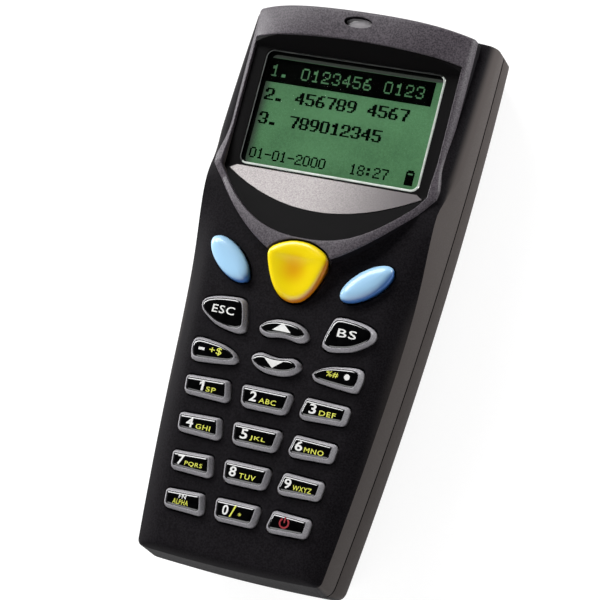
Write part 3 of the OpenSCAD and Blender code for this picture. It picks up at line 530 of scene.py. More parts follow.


# Black ABS of the case: the grit of its spark-eroded mould leaves it matt, so that hardly any light lies on
# it. On the covers, the steep flanks are painted grey as painted light, where light from the side catches
# them
CASE = ("#1d1b1e", "#110f12", 0.6, 0.35, 0.02)
case_black = moulded("black_textured_abs", *CASE, gleam=0.05)
case_abs = moulded("textured_abs_painted_side_light", *CASE, flank="#5c5654", gleam=0.05)
rear_abs = moulded("dark_abs_painted_side_light", "#211f21", "#131213", 0.6, 0.35, 0.03, flank="#56504e", gleam=0.05)
# Violet grey ABS of the head frame, whose shallower grit keeps a soft sheen
frame_abs = moulded("violet_grey_textured_abs", "#5d575d", "#3b363c", 0.45, 0.35, 0.015, gleam=0.3)
# Black ABS of the dish, which drinks the light round the window
bezel_abs = moulded("black_satin_abs", "#0c0b0c", "#070607", 0.6, 0.3, 0.01, gleam=0.06)


def dyed_cap(name, light, shade_code, middle, centre=(0, 0), reach=1.0, rough=0.3):
    """Moulded cap, dyed through and polished. Painted shade darkens it where the wall turns down and away
    from the light, and the dye looks deeper in the middle where the cap is thickest."""
    m, place = blank(name)
    facing = add(m, "ShaderNodeTexCoord")["Normal"]
    # painted shade: walls that face right, towards the tail and down, away from the lamps, take the shade
    # colour
    turned = add(m, "ShaderNodeVectorMath", {0: facing, 1: (0.60, -0.62, -0.50)}, operation="DOT_PRODUCT")
    painted_shade = {"Value": turned["Value"], "From Min": -0.32, "From Max": 0.32}
    painted_shade = add(m, "ShaderNodeMapRange", painted_shade, interpolation_type="SMOOTHSTEP")[0]
    moved = {0: place, 1: (centre[0] * MM, centre[1] * MM, 0)}
    moved = add(m, "ShaderNodeVectorMath", moved, operation="SUBTRACT")[0]
    flat = add(m, "ShaderNodeVectorMath", {0: moved, 1: (1, 1, 0)}, operation="MULTIPLY")
    length = add(m, "ShaderNodeVectorMath", {0: flat[0]}, operation="LENGTH")
    near = {"Value": length["Value"], "From Min": reach * MM, "From Max": 0.0}
    near = add(m, "ShaderNodeMapRange", near, interpolation_type="SMOOTHSTEP")[0]
    both = {0: near, 6: linear(light), 7: linear(middle)}
    colour = add(m, "ShaderNodeMix", both, data_type="RGBA")[2]
    both = {0: painted_shade, 6: colour, 7: linear(shade_code)}
    colour = add(m, "ShaderNodeMix", both, data_type="RGBA")[2]
    speck = add(m, "ShaderNodeTexNoise", {"Vector": place, "Scale": per_mm(0.8), "Detail": 2.0})
    shine = {"Value": speck["Fac"], "To Min": rough - 0.04, "To Max": rough + 0.04}
    shader = {
        "Base Color": colour,
        "Roughness": add(m, "ShaderNodeMapRange", shine)[0],
        "Coat Weight": 0.3,
        "Coat Roughness": 0.12,
        "IOR": 1.5,
    }
    return close(m, "ShaderNodeBsdfPrincipled", shader)


# Light blue ABS, which looks soft and milky, with painted shade in deep blue on its far wall
blue_cap = dyed_cap("blue_dyed_abs", "#a9d6f7", "#3f70b4", "#a9d6f7")
# Warm yellow ABS, with painted shade in amber on its far wall, and amber in its dish
yellow_cap = dyed_cap("yellow_dyed_abs", "#fde000", "#d07a00", "#f0ae00", (-0.4, 3.2), 4.2)
# ABS under silver paint, whose fine flake gives it an even pale grey with a soft shine
silver_cap = moulded("silver_painted_abs", "#b4b2b6", "#9d9ba0", 0.32, 0.25, 0.004)


def gloss(name, light, dark, rough, coat, ior=1.5):
    """Printed ink, with or without a clear lacquer on it: an even colour with the faintest ripple."""
    m, place = blank(name)
    ripple = {"Vector": place, "Scale": per_mm(1.5), "Detail": 1.0}
    ripple = add(m, "ShaderNodeTexNoise", ripple)["Fac"]
    bumps = {"Height": ripple, "Strength": 0.15, "Distance": 0.02 * MM}
    shader = {
        "Base Color": add(m, "ShaderNodeValToRGB", {"Fac": ripple}, [(0.35, dark), (0.65, light)])[0],
        "Roughness": rough,
        "IOR": ior,
        "Coat Weight": coat,
        "Coat Roughness": 0.05,
        "Normal": add(m, "ShaderNodeBump", bumps)["Normal"],
    }
    return close(m, "ShaderNodeBsdfPrincipled", shader)


# Black lacquer of the key tops, nearly a mirror
black_lacquer = gloss("black_lacquer", "#060607", "#020203", 0.12, 1.0, 1.6)
# Pad-printed inks of the legends, flat and opaque
white_ink = gloss("white_print", "#f4f4f2", "#e6e6e4", 0.4, 0.0)
yellow_ink = gloss("yellow_print", "#e8ea62", "#dcdf58", 0.4, 0.0)
red_ink = gloss("red_print", "#a33039", "#8f2a32", 0.4, 0.0)
# Cells of the liquid crystal that are driven dark: black, and with hardly any shine under the window
lcd_ink = gloss("dark_crystal", "#040605", "#020303", 0.5, 0.0, 1.1)


def metal(name, light, dark, rough, grain, shade_right=None):
    """Bare or plated metal with a fine grain. If painted shade darkens it to the right, the last argument is
    the colour that it ends in and where, in mm."""
    m, place = blank(name)
    grains = {"Vector": place, "Scale": per_mm(grain), "Detail": 4.0, "Roughness": 0.7}
    grains = add(m, "ShaderNodeTexNoise", grains)["Fac"]
    colour = add(m, "ShaderNodeValToRGB", {"Fac": grains}, [(0.3, dark), (0.7, light)])[0]
    if shade_right:
        # painted shade: darker towards the right
        over = add(m, "ShaderNodeSeparateXYZ", {"Vector": place})["X"]
        share = {"Value": over, "From Min": -5 * MM, "From Max": shade_right[1] * MM}
        share = add(m, "ShaderNodeMapRange", share, interpolation_type="SMOOTHSTEP")[0]
        both = {0: share, 6: colour, 7: linear(shade_right[0])}
        colour = add(m, "ShaderNodeMix", both, data_type="RGBA")[2]
    shine = {"Value": grains, "To Min": rough - 0.1, "To Max": rough + 0.1}
    bumps = {"Height": grains, "Strength": 0.4, "Distance": 0.004 * MM}
    shader = {
        "Base Color": colour,
        "Metallic": 1.0,
        "Roughness": add(m, "ShaderNodeMapRange", shine)[0],
        "Normal": add(m, "ShaderNodeBump", bumps)["Normal"],
    }
    return close(m, "ShaderNodeBsdfPrincipled", shader)


# Aluminium plate with a satin face; painted shade darkens it towards the right
plate_metal = metal("satin_aluminium", "#8f8b8a", "#5c5859", 0.5, 0.3, shade_right=("#4a4748", 21))
# Nickel plate: a warm, fairly bright metal
nickel = metal("nickel_plated_steel", "#c9c6c0", "#a9a6a0", 0.3, 0.4)
# Zinc plate on the screws: cooler and duller than nickel
steel = metal("zinc_plated_steel", "#a3a6aa", "#85888c", 0.35, 0.4)
# Zinc pressed to shape: grey and matt
pressed = metal("pressed_zinc", "#86898c", "#6c6f72", 0.5, 0.5)


def clear(name, code, rough, ior, body=1.0):
    """Moulded clear plastic, whose shine is faintly uneven; body is how much of the light goes through."""
    m, place = blank(name)
    haze = add(m, "ShaderNodeTexNoise", {"Vector": place, "Scale": per_mm(4.0), "Detail": 1.0})
    shine = {"Value": haze["Fac"], "To Min": rough, "To Max": rough + 0.03}
    shader = {
        "Base Color": linear(code),
        "Roughness": add(m, "ShaderNodeMapRange", shine)[0],
        "Transmission Weight": body,
        "IOR": ior,
    }
    return close(m, "ShaderNodeBsdfPrincipled", shader)


# Acrylic window: clear, with a hint of green and a mirror's shine
window = clear("clear_acrylic", "#f2f6f2", 0.0, 1.49)
# Red filter, nearly black from outside
red_window = clear("dark_red_acrylic", "#3a0a0e", 0.02, 1.49, 0.5)
# Light pipe: milky, since little light goes through it while the lamp is off
light_pipe = clear("smoked_polycarbonate", "#d2ced2", 0.2, 1.5, 0.2)

# Where the green of the display fades in from painted shadow on the left, and where it ends at the top
SHADOW_LEFT, GREEN_TOP = (-20.6, -17.8), (49.2, 48.9)


def lcd_green():
    """Backlit liquid crystal: a matt, faintly uneven green, with painted shadow in grey on the left, and
    grey above the dots.
    """
    m, place = blank("backlit_green_panel")
    clouds = add(m, "ShaderNodeTexNoise", {"Vector": place, "Scale": per_mm(9), "Detail": 2.0})
    dots = add(m, "ShaderNodeTexNoise", {"Vector": place, "Scale": per_mm(0.35), "Detail": 2.0})
    mixed = {0: clouds["Fac"], 1: dots["Fac"]}
    mixed = add(m, "ShaderNodeMath", mixed, operation="ADD")[0]
    halved = add(m, "ShaderNodeMath", {0: mixed, 1: 0.5}, operation="MULTIPLY")[0]
    colour = add(m, "ShaderNodeValToRGB", {"Fac": halved}, [(0.35, "#426a48"), (0.65, "#53805a")])[0]
    split = add(m, "ShaderNodeSeparateXYZ", {"Vector": place})
    # painted shadow of the window's wall along the left of the green
    left = {"Value": split["X"], "From Min": SHADOW_LEFT[0] * MM, "From Max": SHADOW_LEFT[1] * MM}
    left = add(m, "ShaderNodeMapRange", left, interpolation_type="SMOOTHSTEP")[0]
    over = {"Value": split["Y"], "From Min": GREEN_TOP[0] * MM, "From Max": GREEN_TOP[1] * MM}
    over = add(m, "ShaderNodeMapRange", over)[0]
    inside = add(m, "ShaderNodeMath", {0: left, 1: over}, operation="MULTIPLY")[0]
    both = {0: inside, 6: linear("#3a3d3a"), 7: colour}
    colour = add(m, "ShaderNodeMix", both, data_type="RGBA")[2]
    shader = {"Base Color": colour, "Roughness": 0.7, "Emission Color": colour, "Emission Strength": 0.75}
    return close(m, "ShaderNodeBsdfPrincipled", shader)


lcd_panel = lcd_green()


def bevel(name, light, dark, glow):
    """Bevelled acrylic edge with its light painted on: an even colour that also glows."""
    m, place = blank(name)
    haze = add(m, "ShaderNodeTexNoise", {"Vector": place, "Scale": per_mm(3.0), "Detail": 1.0})
    stops = [(0.3, dark), (0.7, light)]
    colour = add(m, "ShaderNodeValToRGB", {"Fac": haze["Fac"]}, stops)[0]
    shader = {"Base Color": colour, "Roughness": 0.2, "Emission Color": colour, "Emission Strength": glow}
    return close(m, "ShaderNodeBsdfPrincipled", shader)


# Painted highlight and painted shade of the window's edge: a thin glowing white line on the right and below,
# and a grey one elsewhere
painted_highlight_edge = bevel("acrylic_edge_painted_highlight", "#f0f6f0", "#cfd8cf", 0.25)
painted_shade_edge = bevel("acrylic_edge_painted_shade", "#5d605e", "#484a49", 0.05)
# Carbon black rubber, the dullest black of the case
gasket_rubber = moulded("black_rubber", "#0e0e0f", "#080809", 0.8, 0.4, 0.01)
# Glass cloth in resin under green solder mask, with a soft gloss
board_resin = moulded("green_epoxy_glass", "#2c6a3e", "#1f5a34", 0.4, 0.5, 0.01)
# Grey silicone mat, soft and matt
silicone = moulded("grey_silicone", "#5e6165", "#4d5054", 0.6, 0.5, 0.01)
# Black nylon with a dull sheen
dark_plastic = moulded("dark_nylon", "#1e1e20", "#141416", 0.5, 0.4, 0.01)
# White polycarbonate that scatters the backlight evenly
white_plastic = moulded("white_polycarbonate", "#f0efec", "#e2e1de", 0.5, 0.6, 0.01)
# Printed sleeve of a cell: smooth, blue and half glossy
sleeve = moulded("printed_steel_sleeve", "#3b5a86", "#2d4a73", 0.3, 0.8, 0.004)

# ---------- floor ----------


def floor_paint():
    """Matt paper, clear from below. It glows for the camera and in what mirrors it, but sheds no light."""
    m, place = blank("white_paper")
    fibres = add(m, "ShaderNodeTexNoise", {"Vector": place, "Scale": per_mm(1.2), "Detail": 3.0})
    stops = [(0.3, "#8a8a8a"), (0.7, "#949494")]
    colour = add(m, "ShaderNodeValToRGB", {"Fac": fibres["Fac"]}, stops)[0]
    paper = add(m, "ShaderNodeBsdfDiffuse", {"Color": colour})
    seen = add(m, "ShaderNodeLightPath")
    pale = seen["Is Camera Ray"]
    for ray in ("Is Glossy Ray", "Is Transmission Ray"):
        pale = add(m, "ShaderNodeMath", {0: pale, 1: seen[ray]}, operation="ADD", use_clamp=True)[0]
    lift = add(m, "ShaderNodeMath", {0: pale, 1: 0.88}, operation="MULTIPLY")[0]
    glow = add(m, "ShaderNodeEmission", {"Color": linear("#ffffff"), "Strength": lift})
    both = add(m, "ShaderNodeAddShader", {0: paper[0], 1: glow[0]})
    under = add(m, "ShaderNodeNewGeometry")["Backfacing"]
    open_air = add(m, "ShaderNodeBsdfTransparent")[0]
    return close(m, "ShaderNodeMixShader", {0: under, 1: both[0], 2: open_air})


# The floor lies a hair under the back, so that the two don't share a plane
FLOOR, FLOOR_SIDE = -0.05, 6000
floor_square = raised(corners(FLOOR_SIDE, FLOOR_SIDE), FLOOR)
floor = piece("floor", floor_square, [(0, 1, 2, 3)], [floor_paint()], None)

# ---------- front cover ----------


# Set-back of the scan key's foot, depth of its rim, its travel and the gap round it
SCAN_FOOT, SCAN_RIM, PRESS, SCAN_GAP = -1.1, 1.25, 1.0, 0.4


def scan_top(x, y):
    """Height of the scan key's rim, which rises towards the display."""
    return FACE + SCAN_RISE + 0.25 * (np.minimum(y, 6) - 6)


def scan_hole():
    """Hole that clears the flaring key all the way down."""
    wide = lambda x, y: scan_top(x, y) - SCAN_RIM - PRESS - 0.05
    rim = [(SCAN_FOOT, 20), (SCAN_FOOT, FACE - PRESS - 0.1), (0, wide), (0, FACE + CREST + 3)]
    return loft([raised(key_outline("scan", d + SCAN_GAP), z) for d, z in rim])


def front_cover():
    """Upper shell. Its face rolls down to a crease beside the keys and into the flank beside the head."""
    seam = lambda up: (lambda x, y: seam_at(y) + SEAM_GAP / 2 + up)

    def ring(share, turn, down=0.0):
        """Ring so far in over the roll beside the keys, and so far round the edge beside the head."""
        inset = FLANK_IN + share * ROLL_W
        edge_in, edge_down = 3.0 * (1 - math.cos(turn)), 4.5 * (1 - math.sin(turn))
        lean = lambda y: (1 - at_head(y)) * FLANK_LEAN * y / END + at_head(y) * (edge_in - inset)
        flat = outline(inset, TAIL_IN + share * TAIL_ROLL, 0.3 * edge_in, lean)
        keys = lambda y: FACE - roll_at(y) * (1 - share) ** 2
        head = lambda y: ledge_at(y) - edge_down
        return raised(flat, lambda x, y: (1 - at_head(y)) * keys(y) + at_head(y) * head(y) - down)

    turns = np.radians([0, 9, 18, 26, 34, 42, 50, 58, 66, 74, 82, 90])
    shares = [0, 0.04, 0.1, 0.18, 0.27, 0.36, 0.45, 0.55, 0.65, 0.75, 0.86, 1]
    rings = [raised(even(d), seam(up)) for d, up in ((0.2, 0), (0.06, 0.05), (0, 0.2))]
    rings.append(ring(0, 0, 0.2))
    rings += [ring(s, t) for s, t in zip(shares, turns)]
    made = piece("front_cover_skin", *shell_loft(rings), [case_abs], None)
    rolled = lambda x, y: ledge_at(y) - roll_at(np.minimum(y, ROLL_END)) - 1.3 * WALL
    room = [raised(even(WALL), lambda x, y: seam_at(y) - 1), raised(face_ring(0, WALL), rolled)]
    room.append(raised(face_ring(0.3, WALL), lambda x, y: ledge_at(y) - WALL))
    holes = [scan_hole()]
    for name in KEYS[1:]:
        gap = 0.05 if name in ("left", "right") else KEY_GAP
        rim = [(gap, FACE - 4), (gap, FACE - 0.15), (gap + 0.15, FACE), (gap + 0.15, FACE + 1)]
        holes.append(loft([raised(key_outline(name, d), z) for d, z in rim]))
    return cut(made, shell_loft(room), prism(recess_outline(-0.02), 18, 40), *holes)


# Lowest point, end and power of the curves that the recess and the frame follow over the keys
ROOM_LOW, ROOM_END, ROOM_POWER = 9.8, 23.4, 2.4
VEE_LOW, VEE_END, VEE_POWER = 4.2, (26.2, 24.4), 1.7


def recess_outline(d, steps=40):
    """Outline of the display recess, counter-clockwise from its lowest point."""
    t = np.linspace(0, 1, steps + 1)
    low = np.c_[RECESS_HALF * t, ROOM_LOW + (ROOM_END - ROOM_LOW) * t**ROOM_POWER]
    x = np.linspace(RECESS_HALF, 0, steps + 1)
    top = np.c_[x, RECESS_TOP - (RECESS_TOP - RECESS_SIDE) * (x / RECESS_HALF) ** 2]
    return grow(whole(np.vstack([low, top])), d)


settle(front_cover(), "case", ["front_cover"])

# ---------- rear cover and battery door ----------

DOOR_WALL, SLIDE, RAIL_Z, RAIL_T, LEDGE_W = 1.6, 0.2, 5.0, 1.0, 1.2
BAY_LOW, BAY_HIGH, BAY_HALF, BAY_WALL, BAY_ROOF = -52.7, -3.0, 10.8, 1.2, 13.1
BAY_MID, BAY_LONG = (BAY_LOW + BAY_HIGH) / 2, BAY_HIGH - BAY_LOW
HEAD_SCREW, TAIL_SCREW, SCREW_RECESS, SCREW_HOLE = (19.8, 53.8), (14.4, -54.5), 2.15, 1.15
HEAD_SEAT, TAIL_SEAT = 5.0, 11.6
SCAN_W, SCAN_H, SCAN_Z, SCAN_T, WINDOW_Y = 30.0, 8.0, 10.0, 1.4, 57.6
IR_W, IR_H, IR_Z = 11.0, 3.6, 14.4
SOUND_X, SOUND_Y, SOUND_RING, SOUND_R = -12, 16, 2.4, 0.6


def back_ring(more):
    return outline(BACK_SIDE + more, BACK_TAIL + more, BACK_HEAD + more)


def back_body(top):
    """Lower body: a flat back with rounded edges, a long chamfer up to the chine, and the band over it."""
    low, chine, band = back_ring(-0.8), even(BAND_IN), even(0)
    rise = lambda a, b, t: a + (b - a) * t
    rings = [raised(back_ring(d), z) for d, z in ((0, 0), (-0.3, 0.03), (-0.55, 0.12), (-0.75, 0.28))]
    for t in (0.012, 0.3, 0.6, 0.955):
        rings.append(raised(rise(low, chine, t), 0.4 + (CHINE - 0.4) * t))
    rings.append(raised(rise(low, chine, 0.985), CHINE - 0.08))
    rings.append(raised(rise(chine, band, 0.05), CHINE + 0.22))
    at = lambda up: (lambda x, y: top(y) + up)
    rings.append(raised(rise(chine, band, 0.95), at(-0.2)))
    rings += [raised(even(0.06), at(-0.05)), raised(even(0.2), at(0))]
    return shell_loft(rings)


def back_room(wall):
    """Room inside the lower body, up past its top."""
    foot, chine = raised(back_ring(0.8 * wall), wall), raised(even(BAND_IN + wall), CHINE + 0.3 * wall)
    return piece("room", *shell_loft([foot, chine, raised(even(wall), 40)]), [], None)


def slot_through(w, h, r, z, start, end):
    """Rounded opening through an end of the case."""
    return across(fillet(corners(w, h), r) + [0, z], "Y", start, end)


def rear_cover():
    """Lower shell, with the bay for the cells, the posts for the screws and all its openings."""
    seam = lambda y: seam_at(y) - SEAM_GAP / 2
    made = piece("rear_cover_skin", *back_body(seam), [rear_abs], None)
    head_half = block(0, DOOR + WALL + BEYOND / 2, 0, 2 * BEYOND, BEYOND, BEYOND)
    shade_code = cut(back_room(WALL), head_half, operation="INTERSECT")
    shallow = loft([raised(even(WALL + 0.19), CHINE + WALL), raised(even(WALL), 40)])
    cut(made, shade_code, shallow, block(0, DOOR - BEYOND / 2, CHINE - BEYOND, 2 * BEYOND, BEYOND, BEYOND))
    low, wide, long = DOOR_WALL + 0.4, 2 * (BAY_HALF + BAY_WALL), BAY_LONG + 2 * BAY_WALL
    walls = [block(0, BAY_MID, low, wide, long, BAY_ROOF + BAY_WALL - low)]
    # Lip that closes the slit between the cover and the door
    walls.append(block(0, DOOR - 0.45 * SLIDE, 1, 44, SLIDE, CHINE - 1.6))
    ledge_x = BAY_HALF + BAY_WALL + LEDGE_W / 2 - HAIR
    for s in (-1, 1):
        walls.append(block(s * ledge_x, BAY_MID, RAIL_Z, LEDGE_W, BAY_LONG, RAIL_T))
        for (x, y), start in ((HEAD_SCREW, WALL / 2), (TAIL_SCREW, CHINE + WALL / 2)):
            walls.append(column(s * x, y, SCREW_RECESS + 1, start, seam(y) - 0.1))
    cut(made, *walls, operation="UNION")
    holes = [block(0, BAY_MID, -HAIR, 2 * BAY_HALF, BAY_LONG, BAY_ROOF + HAIR)]
    for s in (-1, 1):
        for (x, y), start, end in ((HEAD_SCREW, -HAIR, HEAD_SEAT), (TAIL_SCREW, CHINE - HAIR, TAIL_SEAT)):
            holes.append(column(s * x, y, SCREW_RECESS, start, end))
            holes.append(column(s * x, y, SCREW_HOLE, 0, 40))
    for x, y in ellipse(SOUND_X, SOUND_Y, SOUND_RING, SOUND_RING, steps=6):
        holes.append(column(x, y, SOUND_R, -HAIR, 2 * WALL, 24))
    holes.append(slot_through(SCAN_W, SCAN_H, 1.5, SCAN_Z, WINDOW_Y - 0.1, BEYOND))
    holes.append(slot_through(SCAN_W + 2.2, SCAN_H + 2.2, 2.6, SCAN_Z, WINDOW_Y - 2, WINDOW_Y + SCAN_T))
    holes.append(slot_through(IR_W, IR_H, 0.8, IR_Z, -BEYOND, 2 * WALL - END))
    return cut(made, *holes)


def battery_door():
    """Sliding door, with ribs that hook over the ledges of the bay and grooves for the thumb."""
    made = piece("battery_door_skin", *back_body(lambda y: CHINE + 1 + 0 * y), [rear_abs], None)
    tail_wall = DOOR_WALL + TAIL_ARCH - END
    tail = block(0, tail_wall - BEYOND / 2, -HAIR, 2 * BEYOND, BEYOND, CHINE + 2)
    cut(made, cut(back_room(DOOR_WALL), tail))
    rib_x, lip_z, long = BAY_HALF + BAY_WALL + LEDGE_W + SLIDE, RAIL_Z + RAIL_T + SLIDE, BAY_LONG - 8
    ribs = []
    for s in (-1, 1):
        ribs.append(block(s * (rib_x + 0.6), BAY_MID, DOOR_WALL - HAIR, 1.2, long, lip_z + 1 - DOOR_WALL))
        ribs.append(block(s * (rib_x - LEDGE_W / 2 + 0.6), BAY_MID, lip_z, LEDGE_W + 1.2, long, 1))
    cut(made, *ribs, operation="UNION")
    grips = [block(0, DOOR - 7 - 1.8 * i, -HAIR, 16 - i, 0.9, 0.5) for i in range(5)]
    front = block(0, DOOR - SLIDE + BEYOND / 2, -HAIR, 2 * BEYOND, BEYOND, BEYOND)
    above = block(0, 0, CHINE - SLIDE, 2 * BEYOND, 2 * BEYOND, BEYOND)
    return cut(made, front, above, *grips)


settle(rear_cover(), "case", ["rear_cover"])
settle(battery_door(), "battery_door", ["battery_door"])

# ---------- head frame ----------

FRAME_IN = 2.95
# Least height of the frame's arms over the ledge, and how steeply they rise inwards there
PROUD, FRAME_LEAN = 0.4, 0.4
# How far the arms flare out at the shoulders, where, and over how much of the length
FLARE, FLARE_Y, FLARE_L = 1.6, 21, 6


def on_rays(flat, turns, centre):
    """Where rays from the centre at the given angles leave a closed outline."""
    p = flat - centre
    a = np.unwrap(np.arctan2(p[:, 1], p[:, 0]))
    order = np.argsort(np.mod(a, 2 * math.pi))
    p, a = p[order], np.mod(a, 2 * math.pi)[order]
    p = np.vstack([p[-1:], p, p[:1]])
    a = np.concatenate([[a[-1] - 2 * math.pi], a, [a[0] + 2 * math.pi]])
    k = np.clip(np.searchsorted(a, turns, side="right") - 1, 0, len(a) - 2)
    s, e = p[k], p[k + 1] - p[k]
    d = np.c_[np.cos(turns), np.sin(turns)]
    cross = lambda u, v: u[:, 0] * v[:, 1] - u[:, 1] * v[:, 0]
    return centre + d * (cross(s, e) / cross(d, e))[:, None]


def frame_outline(pull=0.0, steps=60):
    """Outer outline of the head frame: the V over the keys, the flared shoulders and the sides."""
    t = np.linspace(0, 1, steps + 1)
    low = np.c_[VEE_END[0] * t, VEE_LOW + (VEE_END[1] - VEE_LOW) * t**VEE_POWER]
    side = outline(FRAME_IN, 0, 1.0, lambda y: -FLARE * np.exp(-(((y - FLARE_Y) / FLARE_L) ** 2)))
    right = side[(side[:, 0] > 0) & (side[:, 1] > 0)]
    right = right[right[:, 1] > np.interp(right[:, 0], low[:, 0], low[:, 1])]
    low = low[low[:, 0] < right[0, 0]]
    return grow(whole(np.vstack([low, right, [[0, head_at(0) - 1.0]]])), -pull)


def head_frame():
    """Raised frame round the display, softer at its outer edge along the sides than at the V."""
    centre = np.array([0.0, 37.0])
    outer = frame_outline()
    # The rays go through the corners of both outlines, so that the corners stay sharp
    peaks = outer[np.argsort(-np.hypot(*(outer - centre).T))[:8]]
    sharp = np.vstack([recess_outline(0)[[40, 41, -41, -40]], peaks]) - centre
    turns = np.linspace(0, 2 * math.pi, 480, endpoint=False)
    turns = np.concatenate([turns, np.mod(np.arctan2(sharp[:, 1], sharp[:, 0]), 2 * math.pi)])
    turns = np.unique(np.round(turns, 4))
    edge, inside = on_rays(outer, turns, centre), on_rays(frame_outline(1.0), turns, centre)
    rim, outside = on_rays(recess_outline(0), turns, centre), on_rays(recess_outline(1.0), turns, centre)
    y = edge[:, 1]
    # Radius of the outer edge
    soft = 0.45 + 0.7 * smooth((y - 24) / 8) - 0.4 * smooth((y - 57) / 3)
    foot = ledge_at(y) - 1.6
    lean = lambda x: FRAME_LEAN * (np.abs(edge[:, 0]) - np.abs(x))
    top = lambda flat: np.maximum(FACE + crown_at(flat[:, 0]), ledge_at(y) + PROUD + lean(flat[:, 0]))
    rings = [np.c_[edge, foot]]
    for turn in np.radians([0, 15, 30, 45, 60, 75, 90]):
        flat = edge + (inside - edge) * (soft * (1 - math.cos(turn)))[:, None]
        rings.append(np.c_[flat, top(flat) - soft * (1 - math.sin(turn))])
    for pull, drop in [(0.4, 0.0), (0.18, 0.06), (0.05, 0.2), (0.0, 0.4)]:
        flat = rim + (outside - rim) * pull
        rings.append(np.c_[flat, top(flat) - drop])
    rings.append(np.c_[rim, np.minimum(foot, FACE - 4)])
    points, faces = loft(rings, "round")
    # The outer wall below its rounded edge and the walls of the lamp's well are black as painted shade; the
    # hidden underside is black too
    marks = [int(i // len(turns) in (0, len(rings) - 1)) for i in range(len(faces))]
    made = piece("head_frame_skin", points, faces, [frame_abs, case_black], None, marks=marks)
    cut(made, scan_hole(), prism(ellipse(0, LAMP_Y, LAMP_W / 2 + 0.1, LAMP_L / 2 + 0.1), 20, 40))
    # painted shade: the steep walls of the lamp's well turn black
    for face in made.data.polygons:
        x, y = face.center.x / MM, face.center.y / MM - LAMP_Y
        if abs(x) < LAMP_W and abs(y) < LAMP_L / 2 + 0.2 and abs(face.normal.z) < 0.5:
            face.material_index = 1
    return made


settle(head_frame(), "case", ["head_frame"])


def status_light():
    """Oval light pipe with a rounded end, down in a well of the forehead whose walls are black as painted
    shade.
    """
    low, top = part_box("status_light")[0][2] / MM, FACE + CREST - 1.0
    sides = [(0, low), (0, top - 0.2), (-0.06, top - 0.06), (-0.2, top)]
    rings = [raised(ellipse(0, LAMP_Y, LAMP_W / 2 + d, LAMP_L / 2 + d), z) for d, z in sides]
    piece("status_light_pipe", *loft(rings), [light_pipe], "case", "light_pipe", ["status_light"])


status_light()

# ---------- display ----------

RAMP_LOW, RAMP_SLOPE, BROW_LOW = 23.9, 4.2 / 14.5, 50.6
VIEW_W, VIEW_L, LCD_TOP = 40.0, 24.9, 25.0


def ramp_at(y):
    """Height of the ramp below the window."""
    return LENS_TOP + RAMP_SLOPE * (RAMP_LOW - y)


def plate_outline(d):
    """Crescent below the window."""
    tip_x, tip_y, low = 21.9, 23.0, 16.2
    x = np.linspace(-tip_x, tip_x, 49)
    edge = np.c_[x, low + (tip_y - low) * (np.abs(x) / tip_x) ** 2]
    return grow(np.vstack([edge, [[tip_x - 1.4, RAMP_LOW], [1.4 - tip_x, RAMP_LOW]]]), d)


def display_bezel():
    """Black dish: a brow above, a flat seat for the window, and a ramp below that carries the name plate."""
    made = prism(recess_outline(-0.05), LENS_TOP - LENS_T - 1, 40)
    made = piece("display_bezel_dish", *made, [bezel_abs], None)
    over = [[-10, ramp_at(-10)], [RAMP_LOW, LENS_TOP], [BROW_LOW, LENS_TOP]]
    over += [[RECESS_TOP, FACE + CREST - 0.2], [RECESS_TOP + 20, FACE + CREST]]
    over += [[RECESS_TOP + 20, 60], [-10, 60]]
    x = np.linspace(-28, 28, 57)
    crown = np.vstack([np.c_[x, FACE + crown_at(x) - 0.15], [[28, 60], [-28, 60]]])
    plate = piece("seat", *prism(plate_outline(0.06), 0, 60), [], None)
    cut(plate, across([[0, ramp_at(0) - 0.25], [30, ramp_at(30) - 0.25], [30, -20], [0, -20]], "X"))
    seat = prism(rectangle(LENS_W + 0.2, LENS_L + 0.2, LENS_MID, 1.9), LENS_TOP - LENS_T, 60)
    view = prism(rectangle(VIEW_W, VIEW_L, LENS_MID, 1.4), 0, 60)
    return cut(made, across(over, "X"), across(crown, "Y"), seat, view, plate)


settle(display_bezel(), "case", ["display_bezel"])


def display_window():
    """Window, whose bevelled rim has a painted highlight on the right and below and painted shade on its
    other sides.
    """
    sides = [(0, -LENS_T), (0, -0.1), (-0.06, 0.02), (-0.3, 0.2), (-0.36, 0.18)]
    flats = [rectangle(LENS_W + 2 * d, LENS_L + 2 * d, LENS_MID, 1.8 + d) for d, z in sides]
    points, faces = loft([raised(flat, LENS_TOP + z) for flat, (d, z) in zip(flats, sides)])
    n = len(flats[0])
    # faces of the rim that take the painted highlight; the rest take painted shade
    highlight_faces = points[:n, 0] / LENS_W > (points[:n, 1] - LENS_MID) / LENS_L
    marks = np.zeros(len(faces))
    marks[n : (len(sides) - 1) * n] = np.tile(np.where(highlight_faces, 1, 2), len(sides) - 2)
    looks = [window, painted_highlight_edge, painted_shade_edge]
    piece("display_window", points, faces, looks, "case", "window", ["display_lens"], marks=marks)


display_window()

DIGITS = {
    "0": "01110 10001 10001 10001 10001 10001 01110",
    "1": "00100 01100 00100 00100 00100 00100 01110",
    "2": "01110 10001 00001 00110 01000 10000 11111",
    "3": "01110 10001 00001 00110 00001 10001 01110",
    "4": "00010 00110 01010 10010 11111 00010 00010",
    "5": "11111 10000 11110 00001 00001 10001 01110",
    "6": "00110 01000 10000 11110 10001 10001 01110",
    "7": "11111 00001 00010 00010 00100 00100 00100",
    "8": "01110 10001 10001 01110 10001 10001 01110",
    "9": "01110 10001 10001 01111 00001 00010 01100",
    ".": "00000 00000 00000 00000 00000 01100 01100",
    ":": "00000 01100 01100 00000 01100 01100 00000",
    "-": "00000 00000 00000 11111 00000 00000 00000",
}
# Rows and columns of a small character that make up a tall one
TALL, BROAD = [0, 1, 1, 2, 3, 4, 5, 6], [0, 1, 1, 2, 3, 4]
# Width and height of a cell, and the place of the first one's corner
PIXEL_X, PIXEL_Y, PIXELS_FROM = 0.3004, 0.34, (-20.4, 49.0)
# Rows of the reversed line, and how far the strokes of the others bleed, in cells
BAR_ROWS, STROKE = 16, 0.35


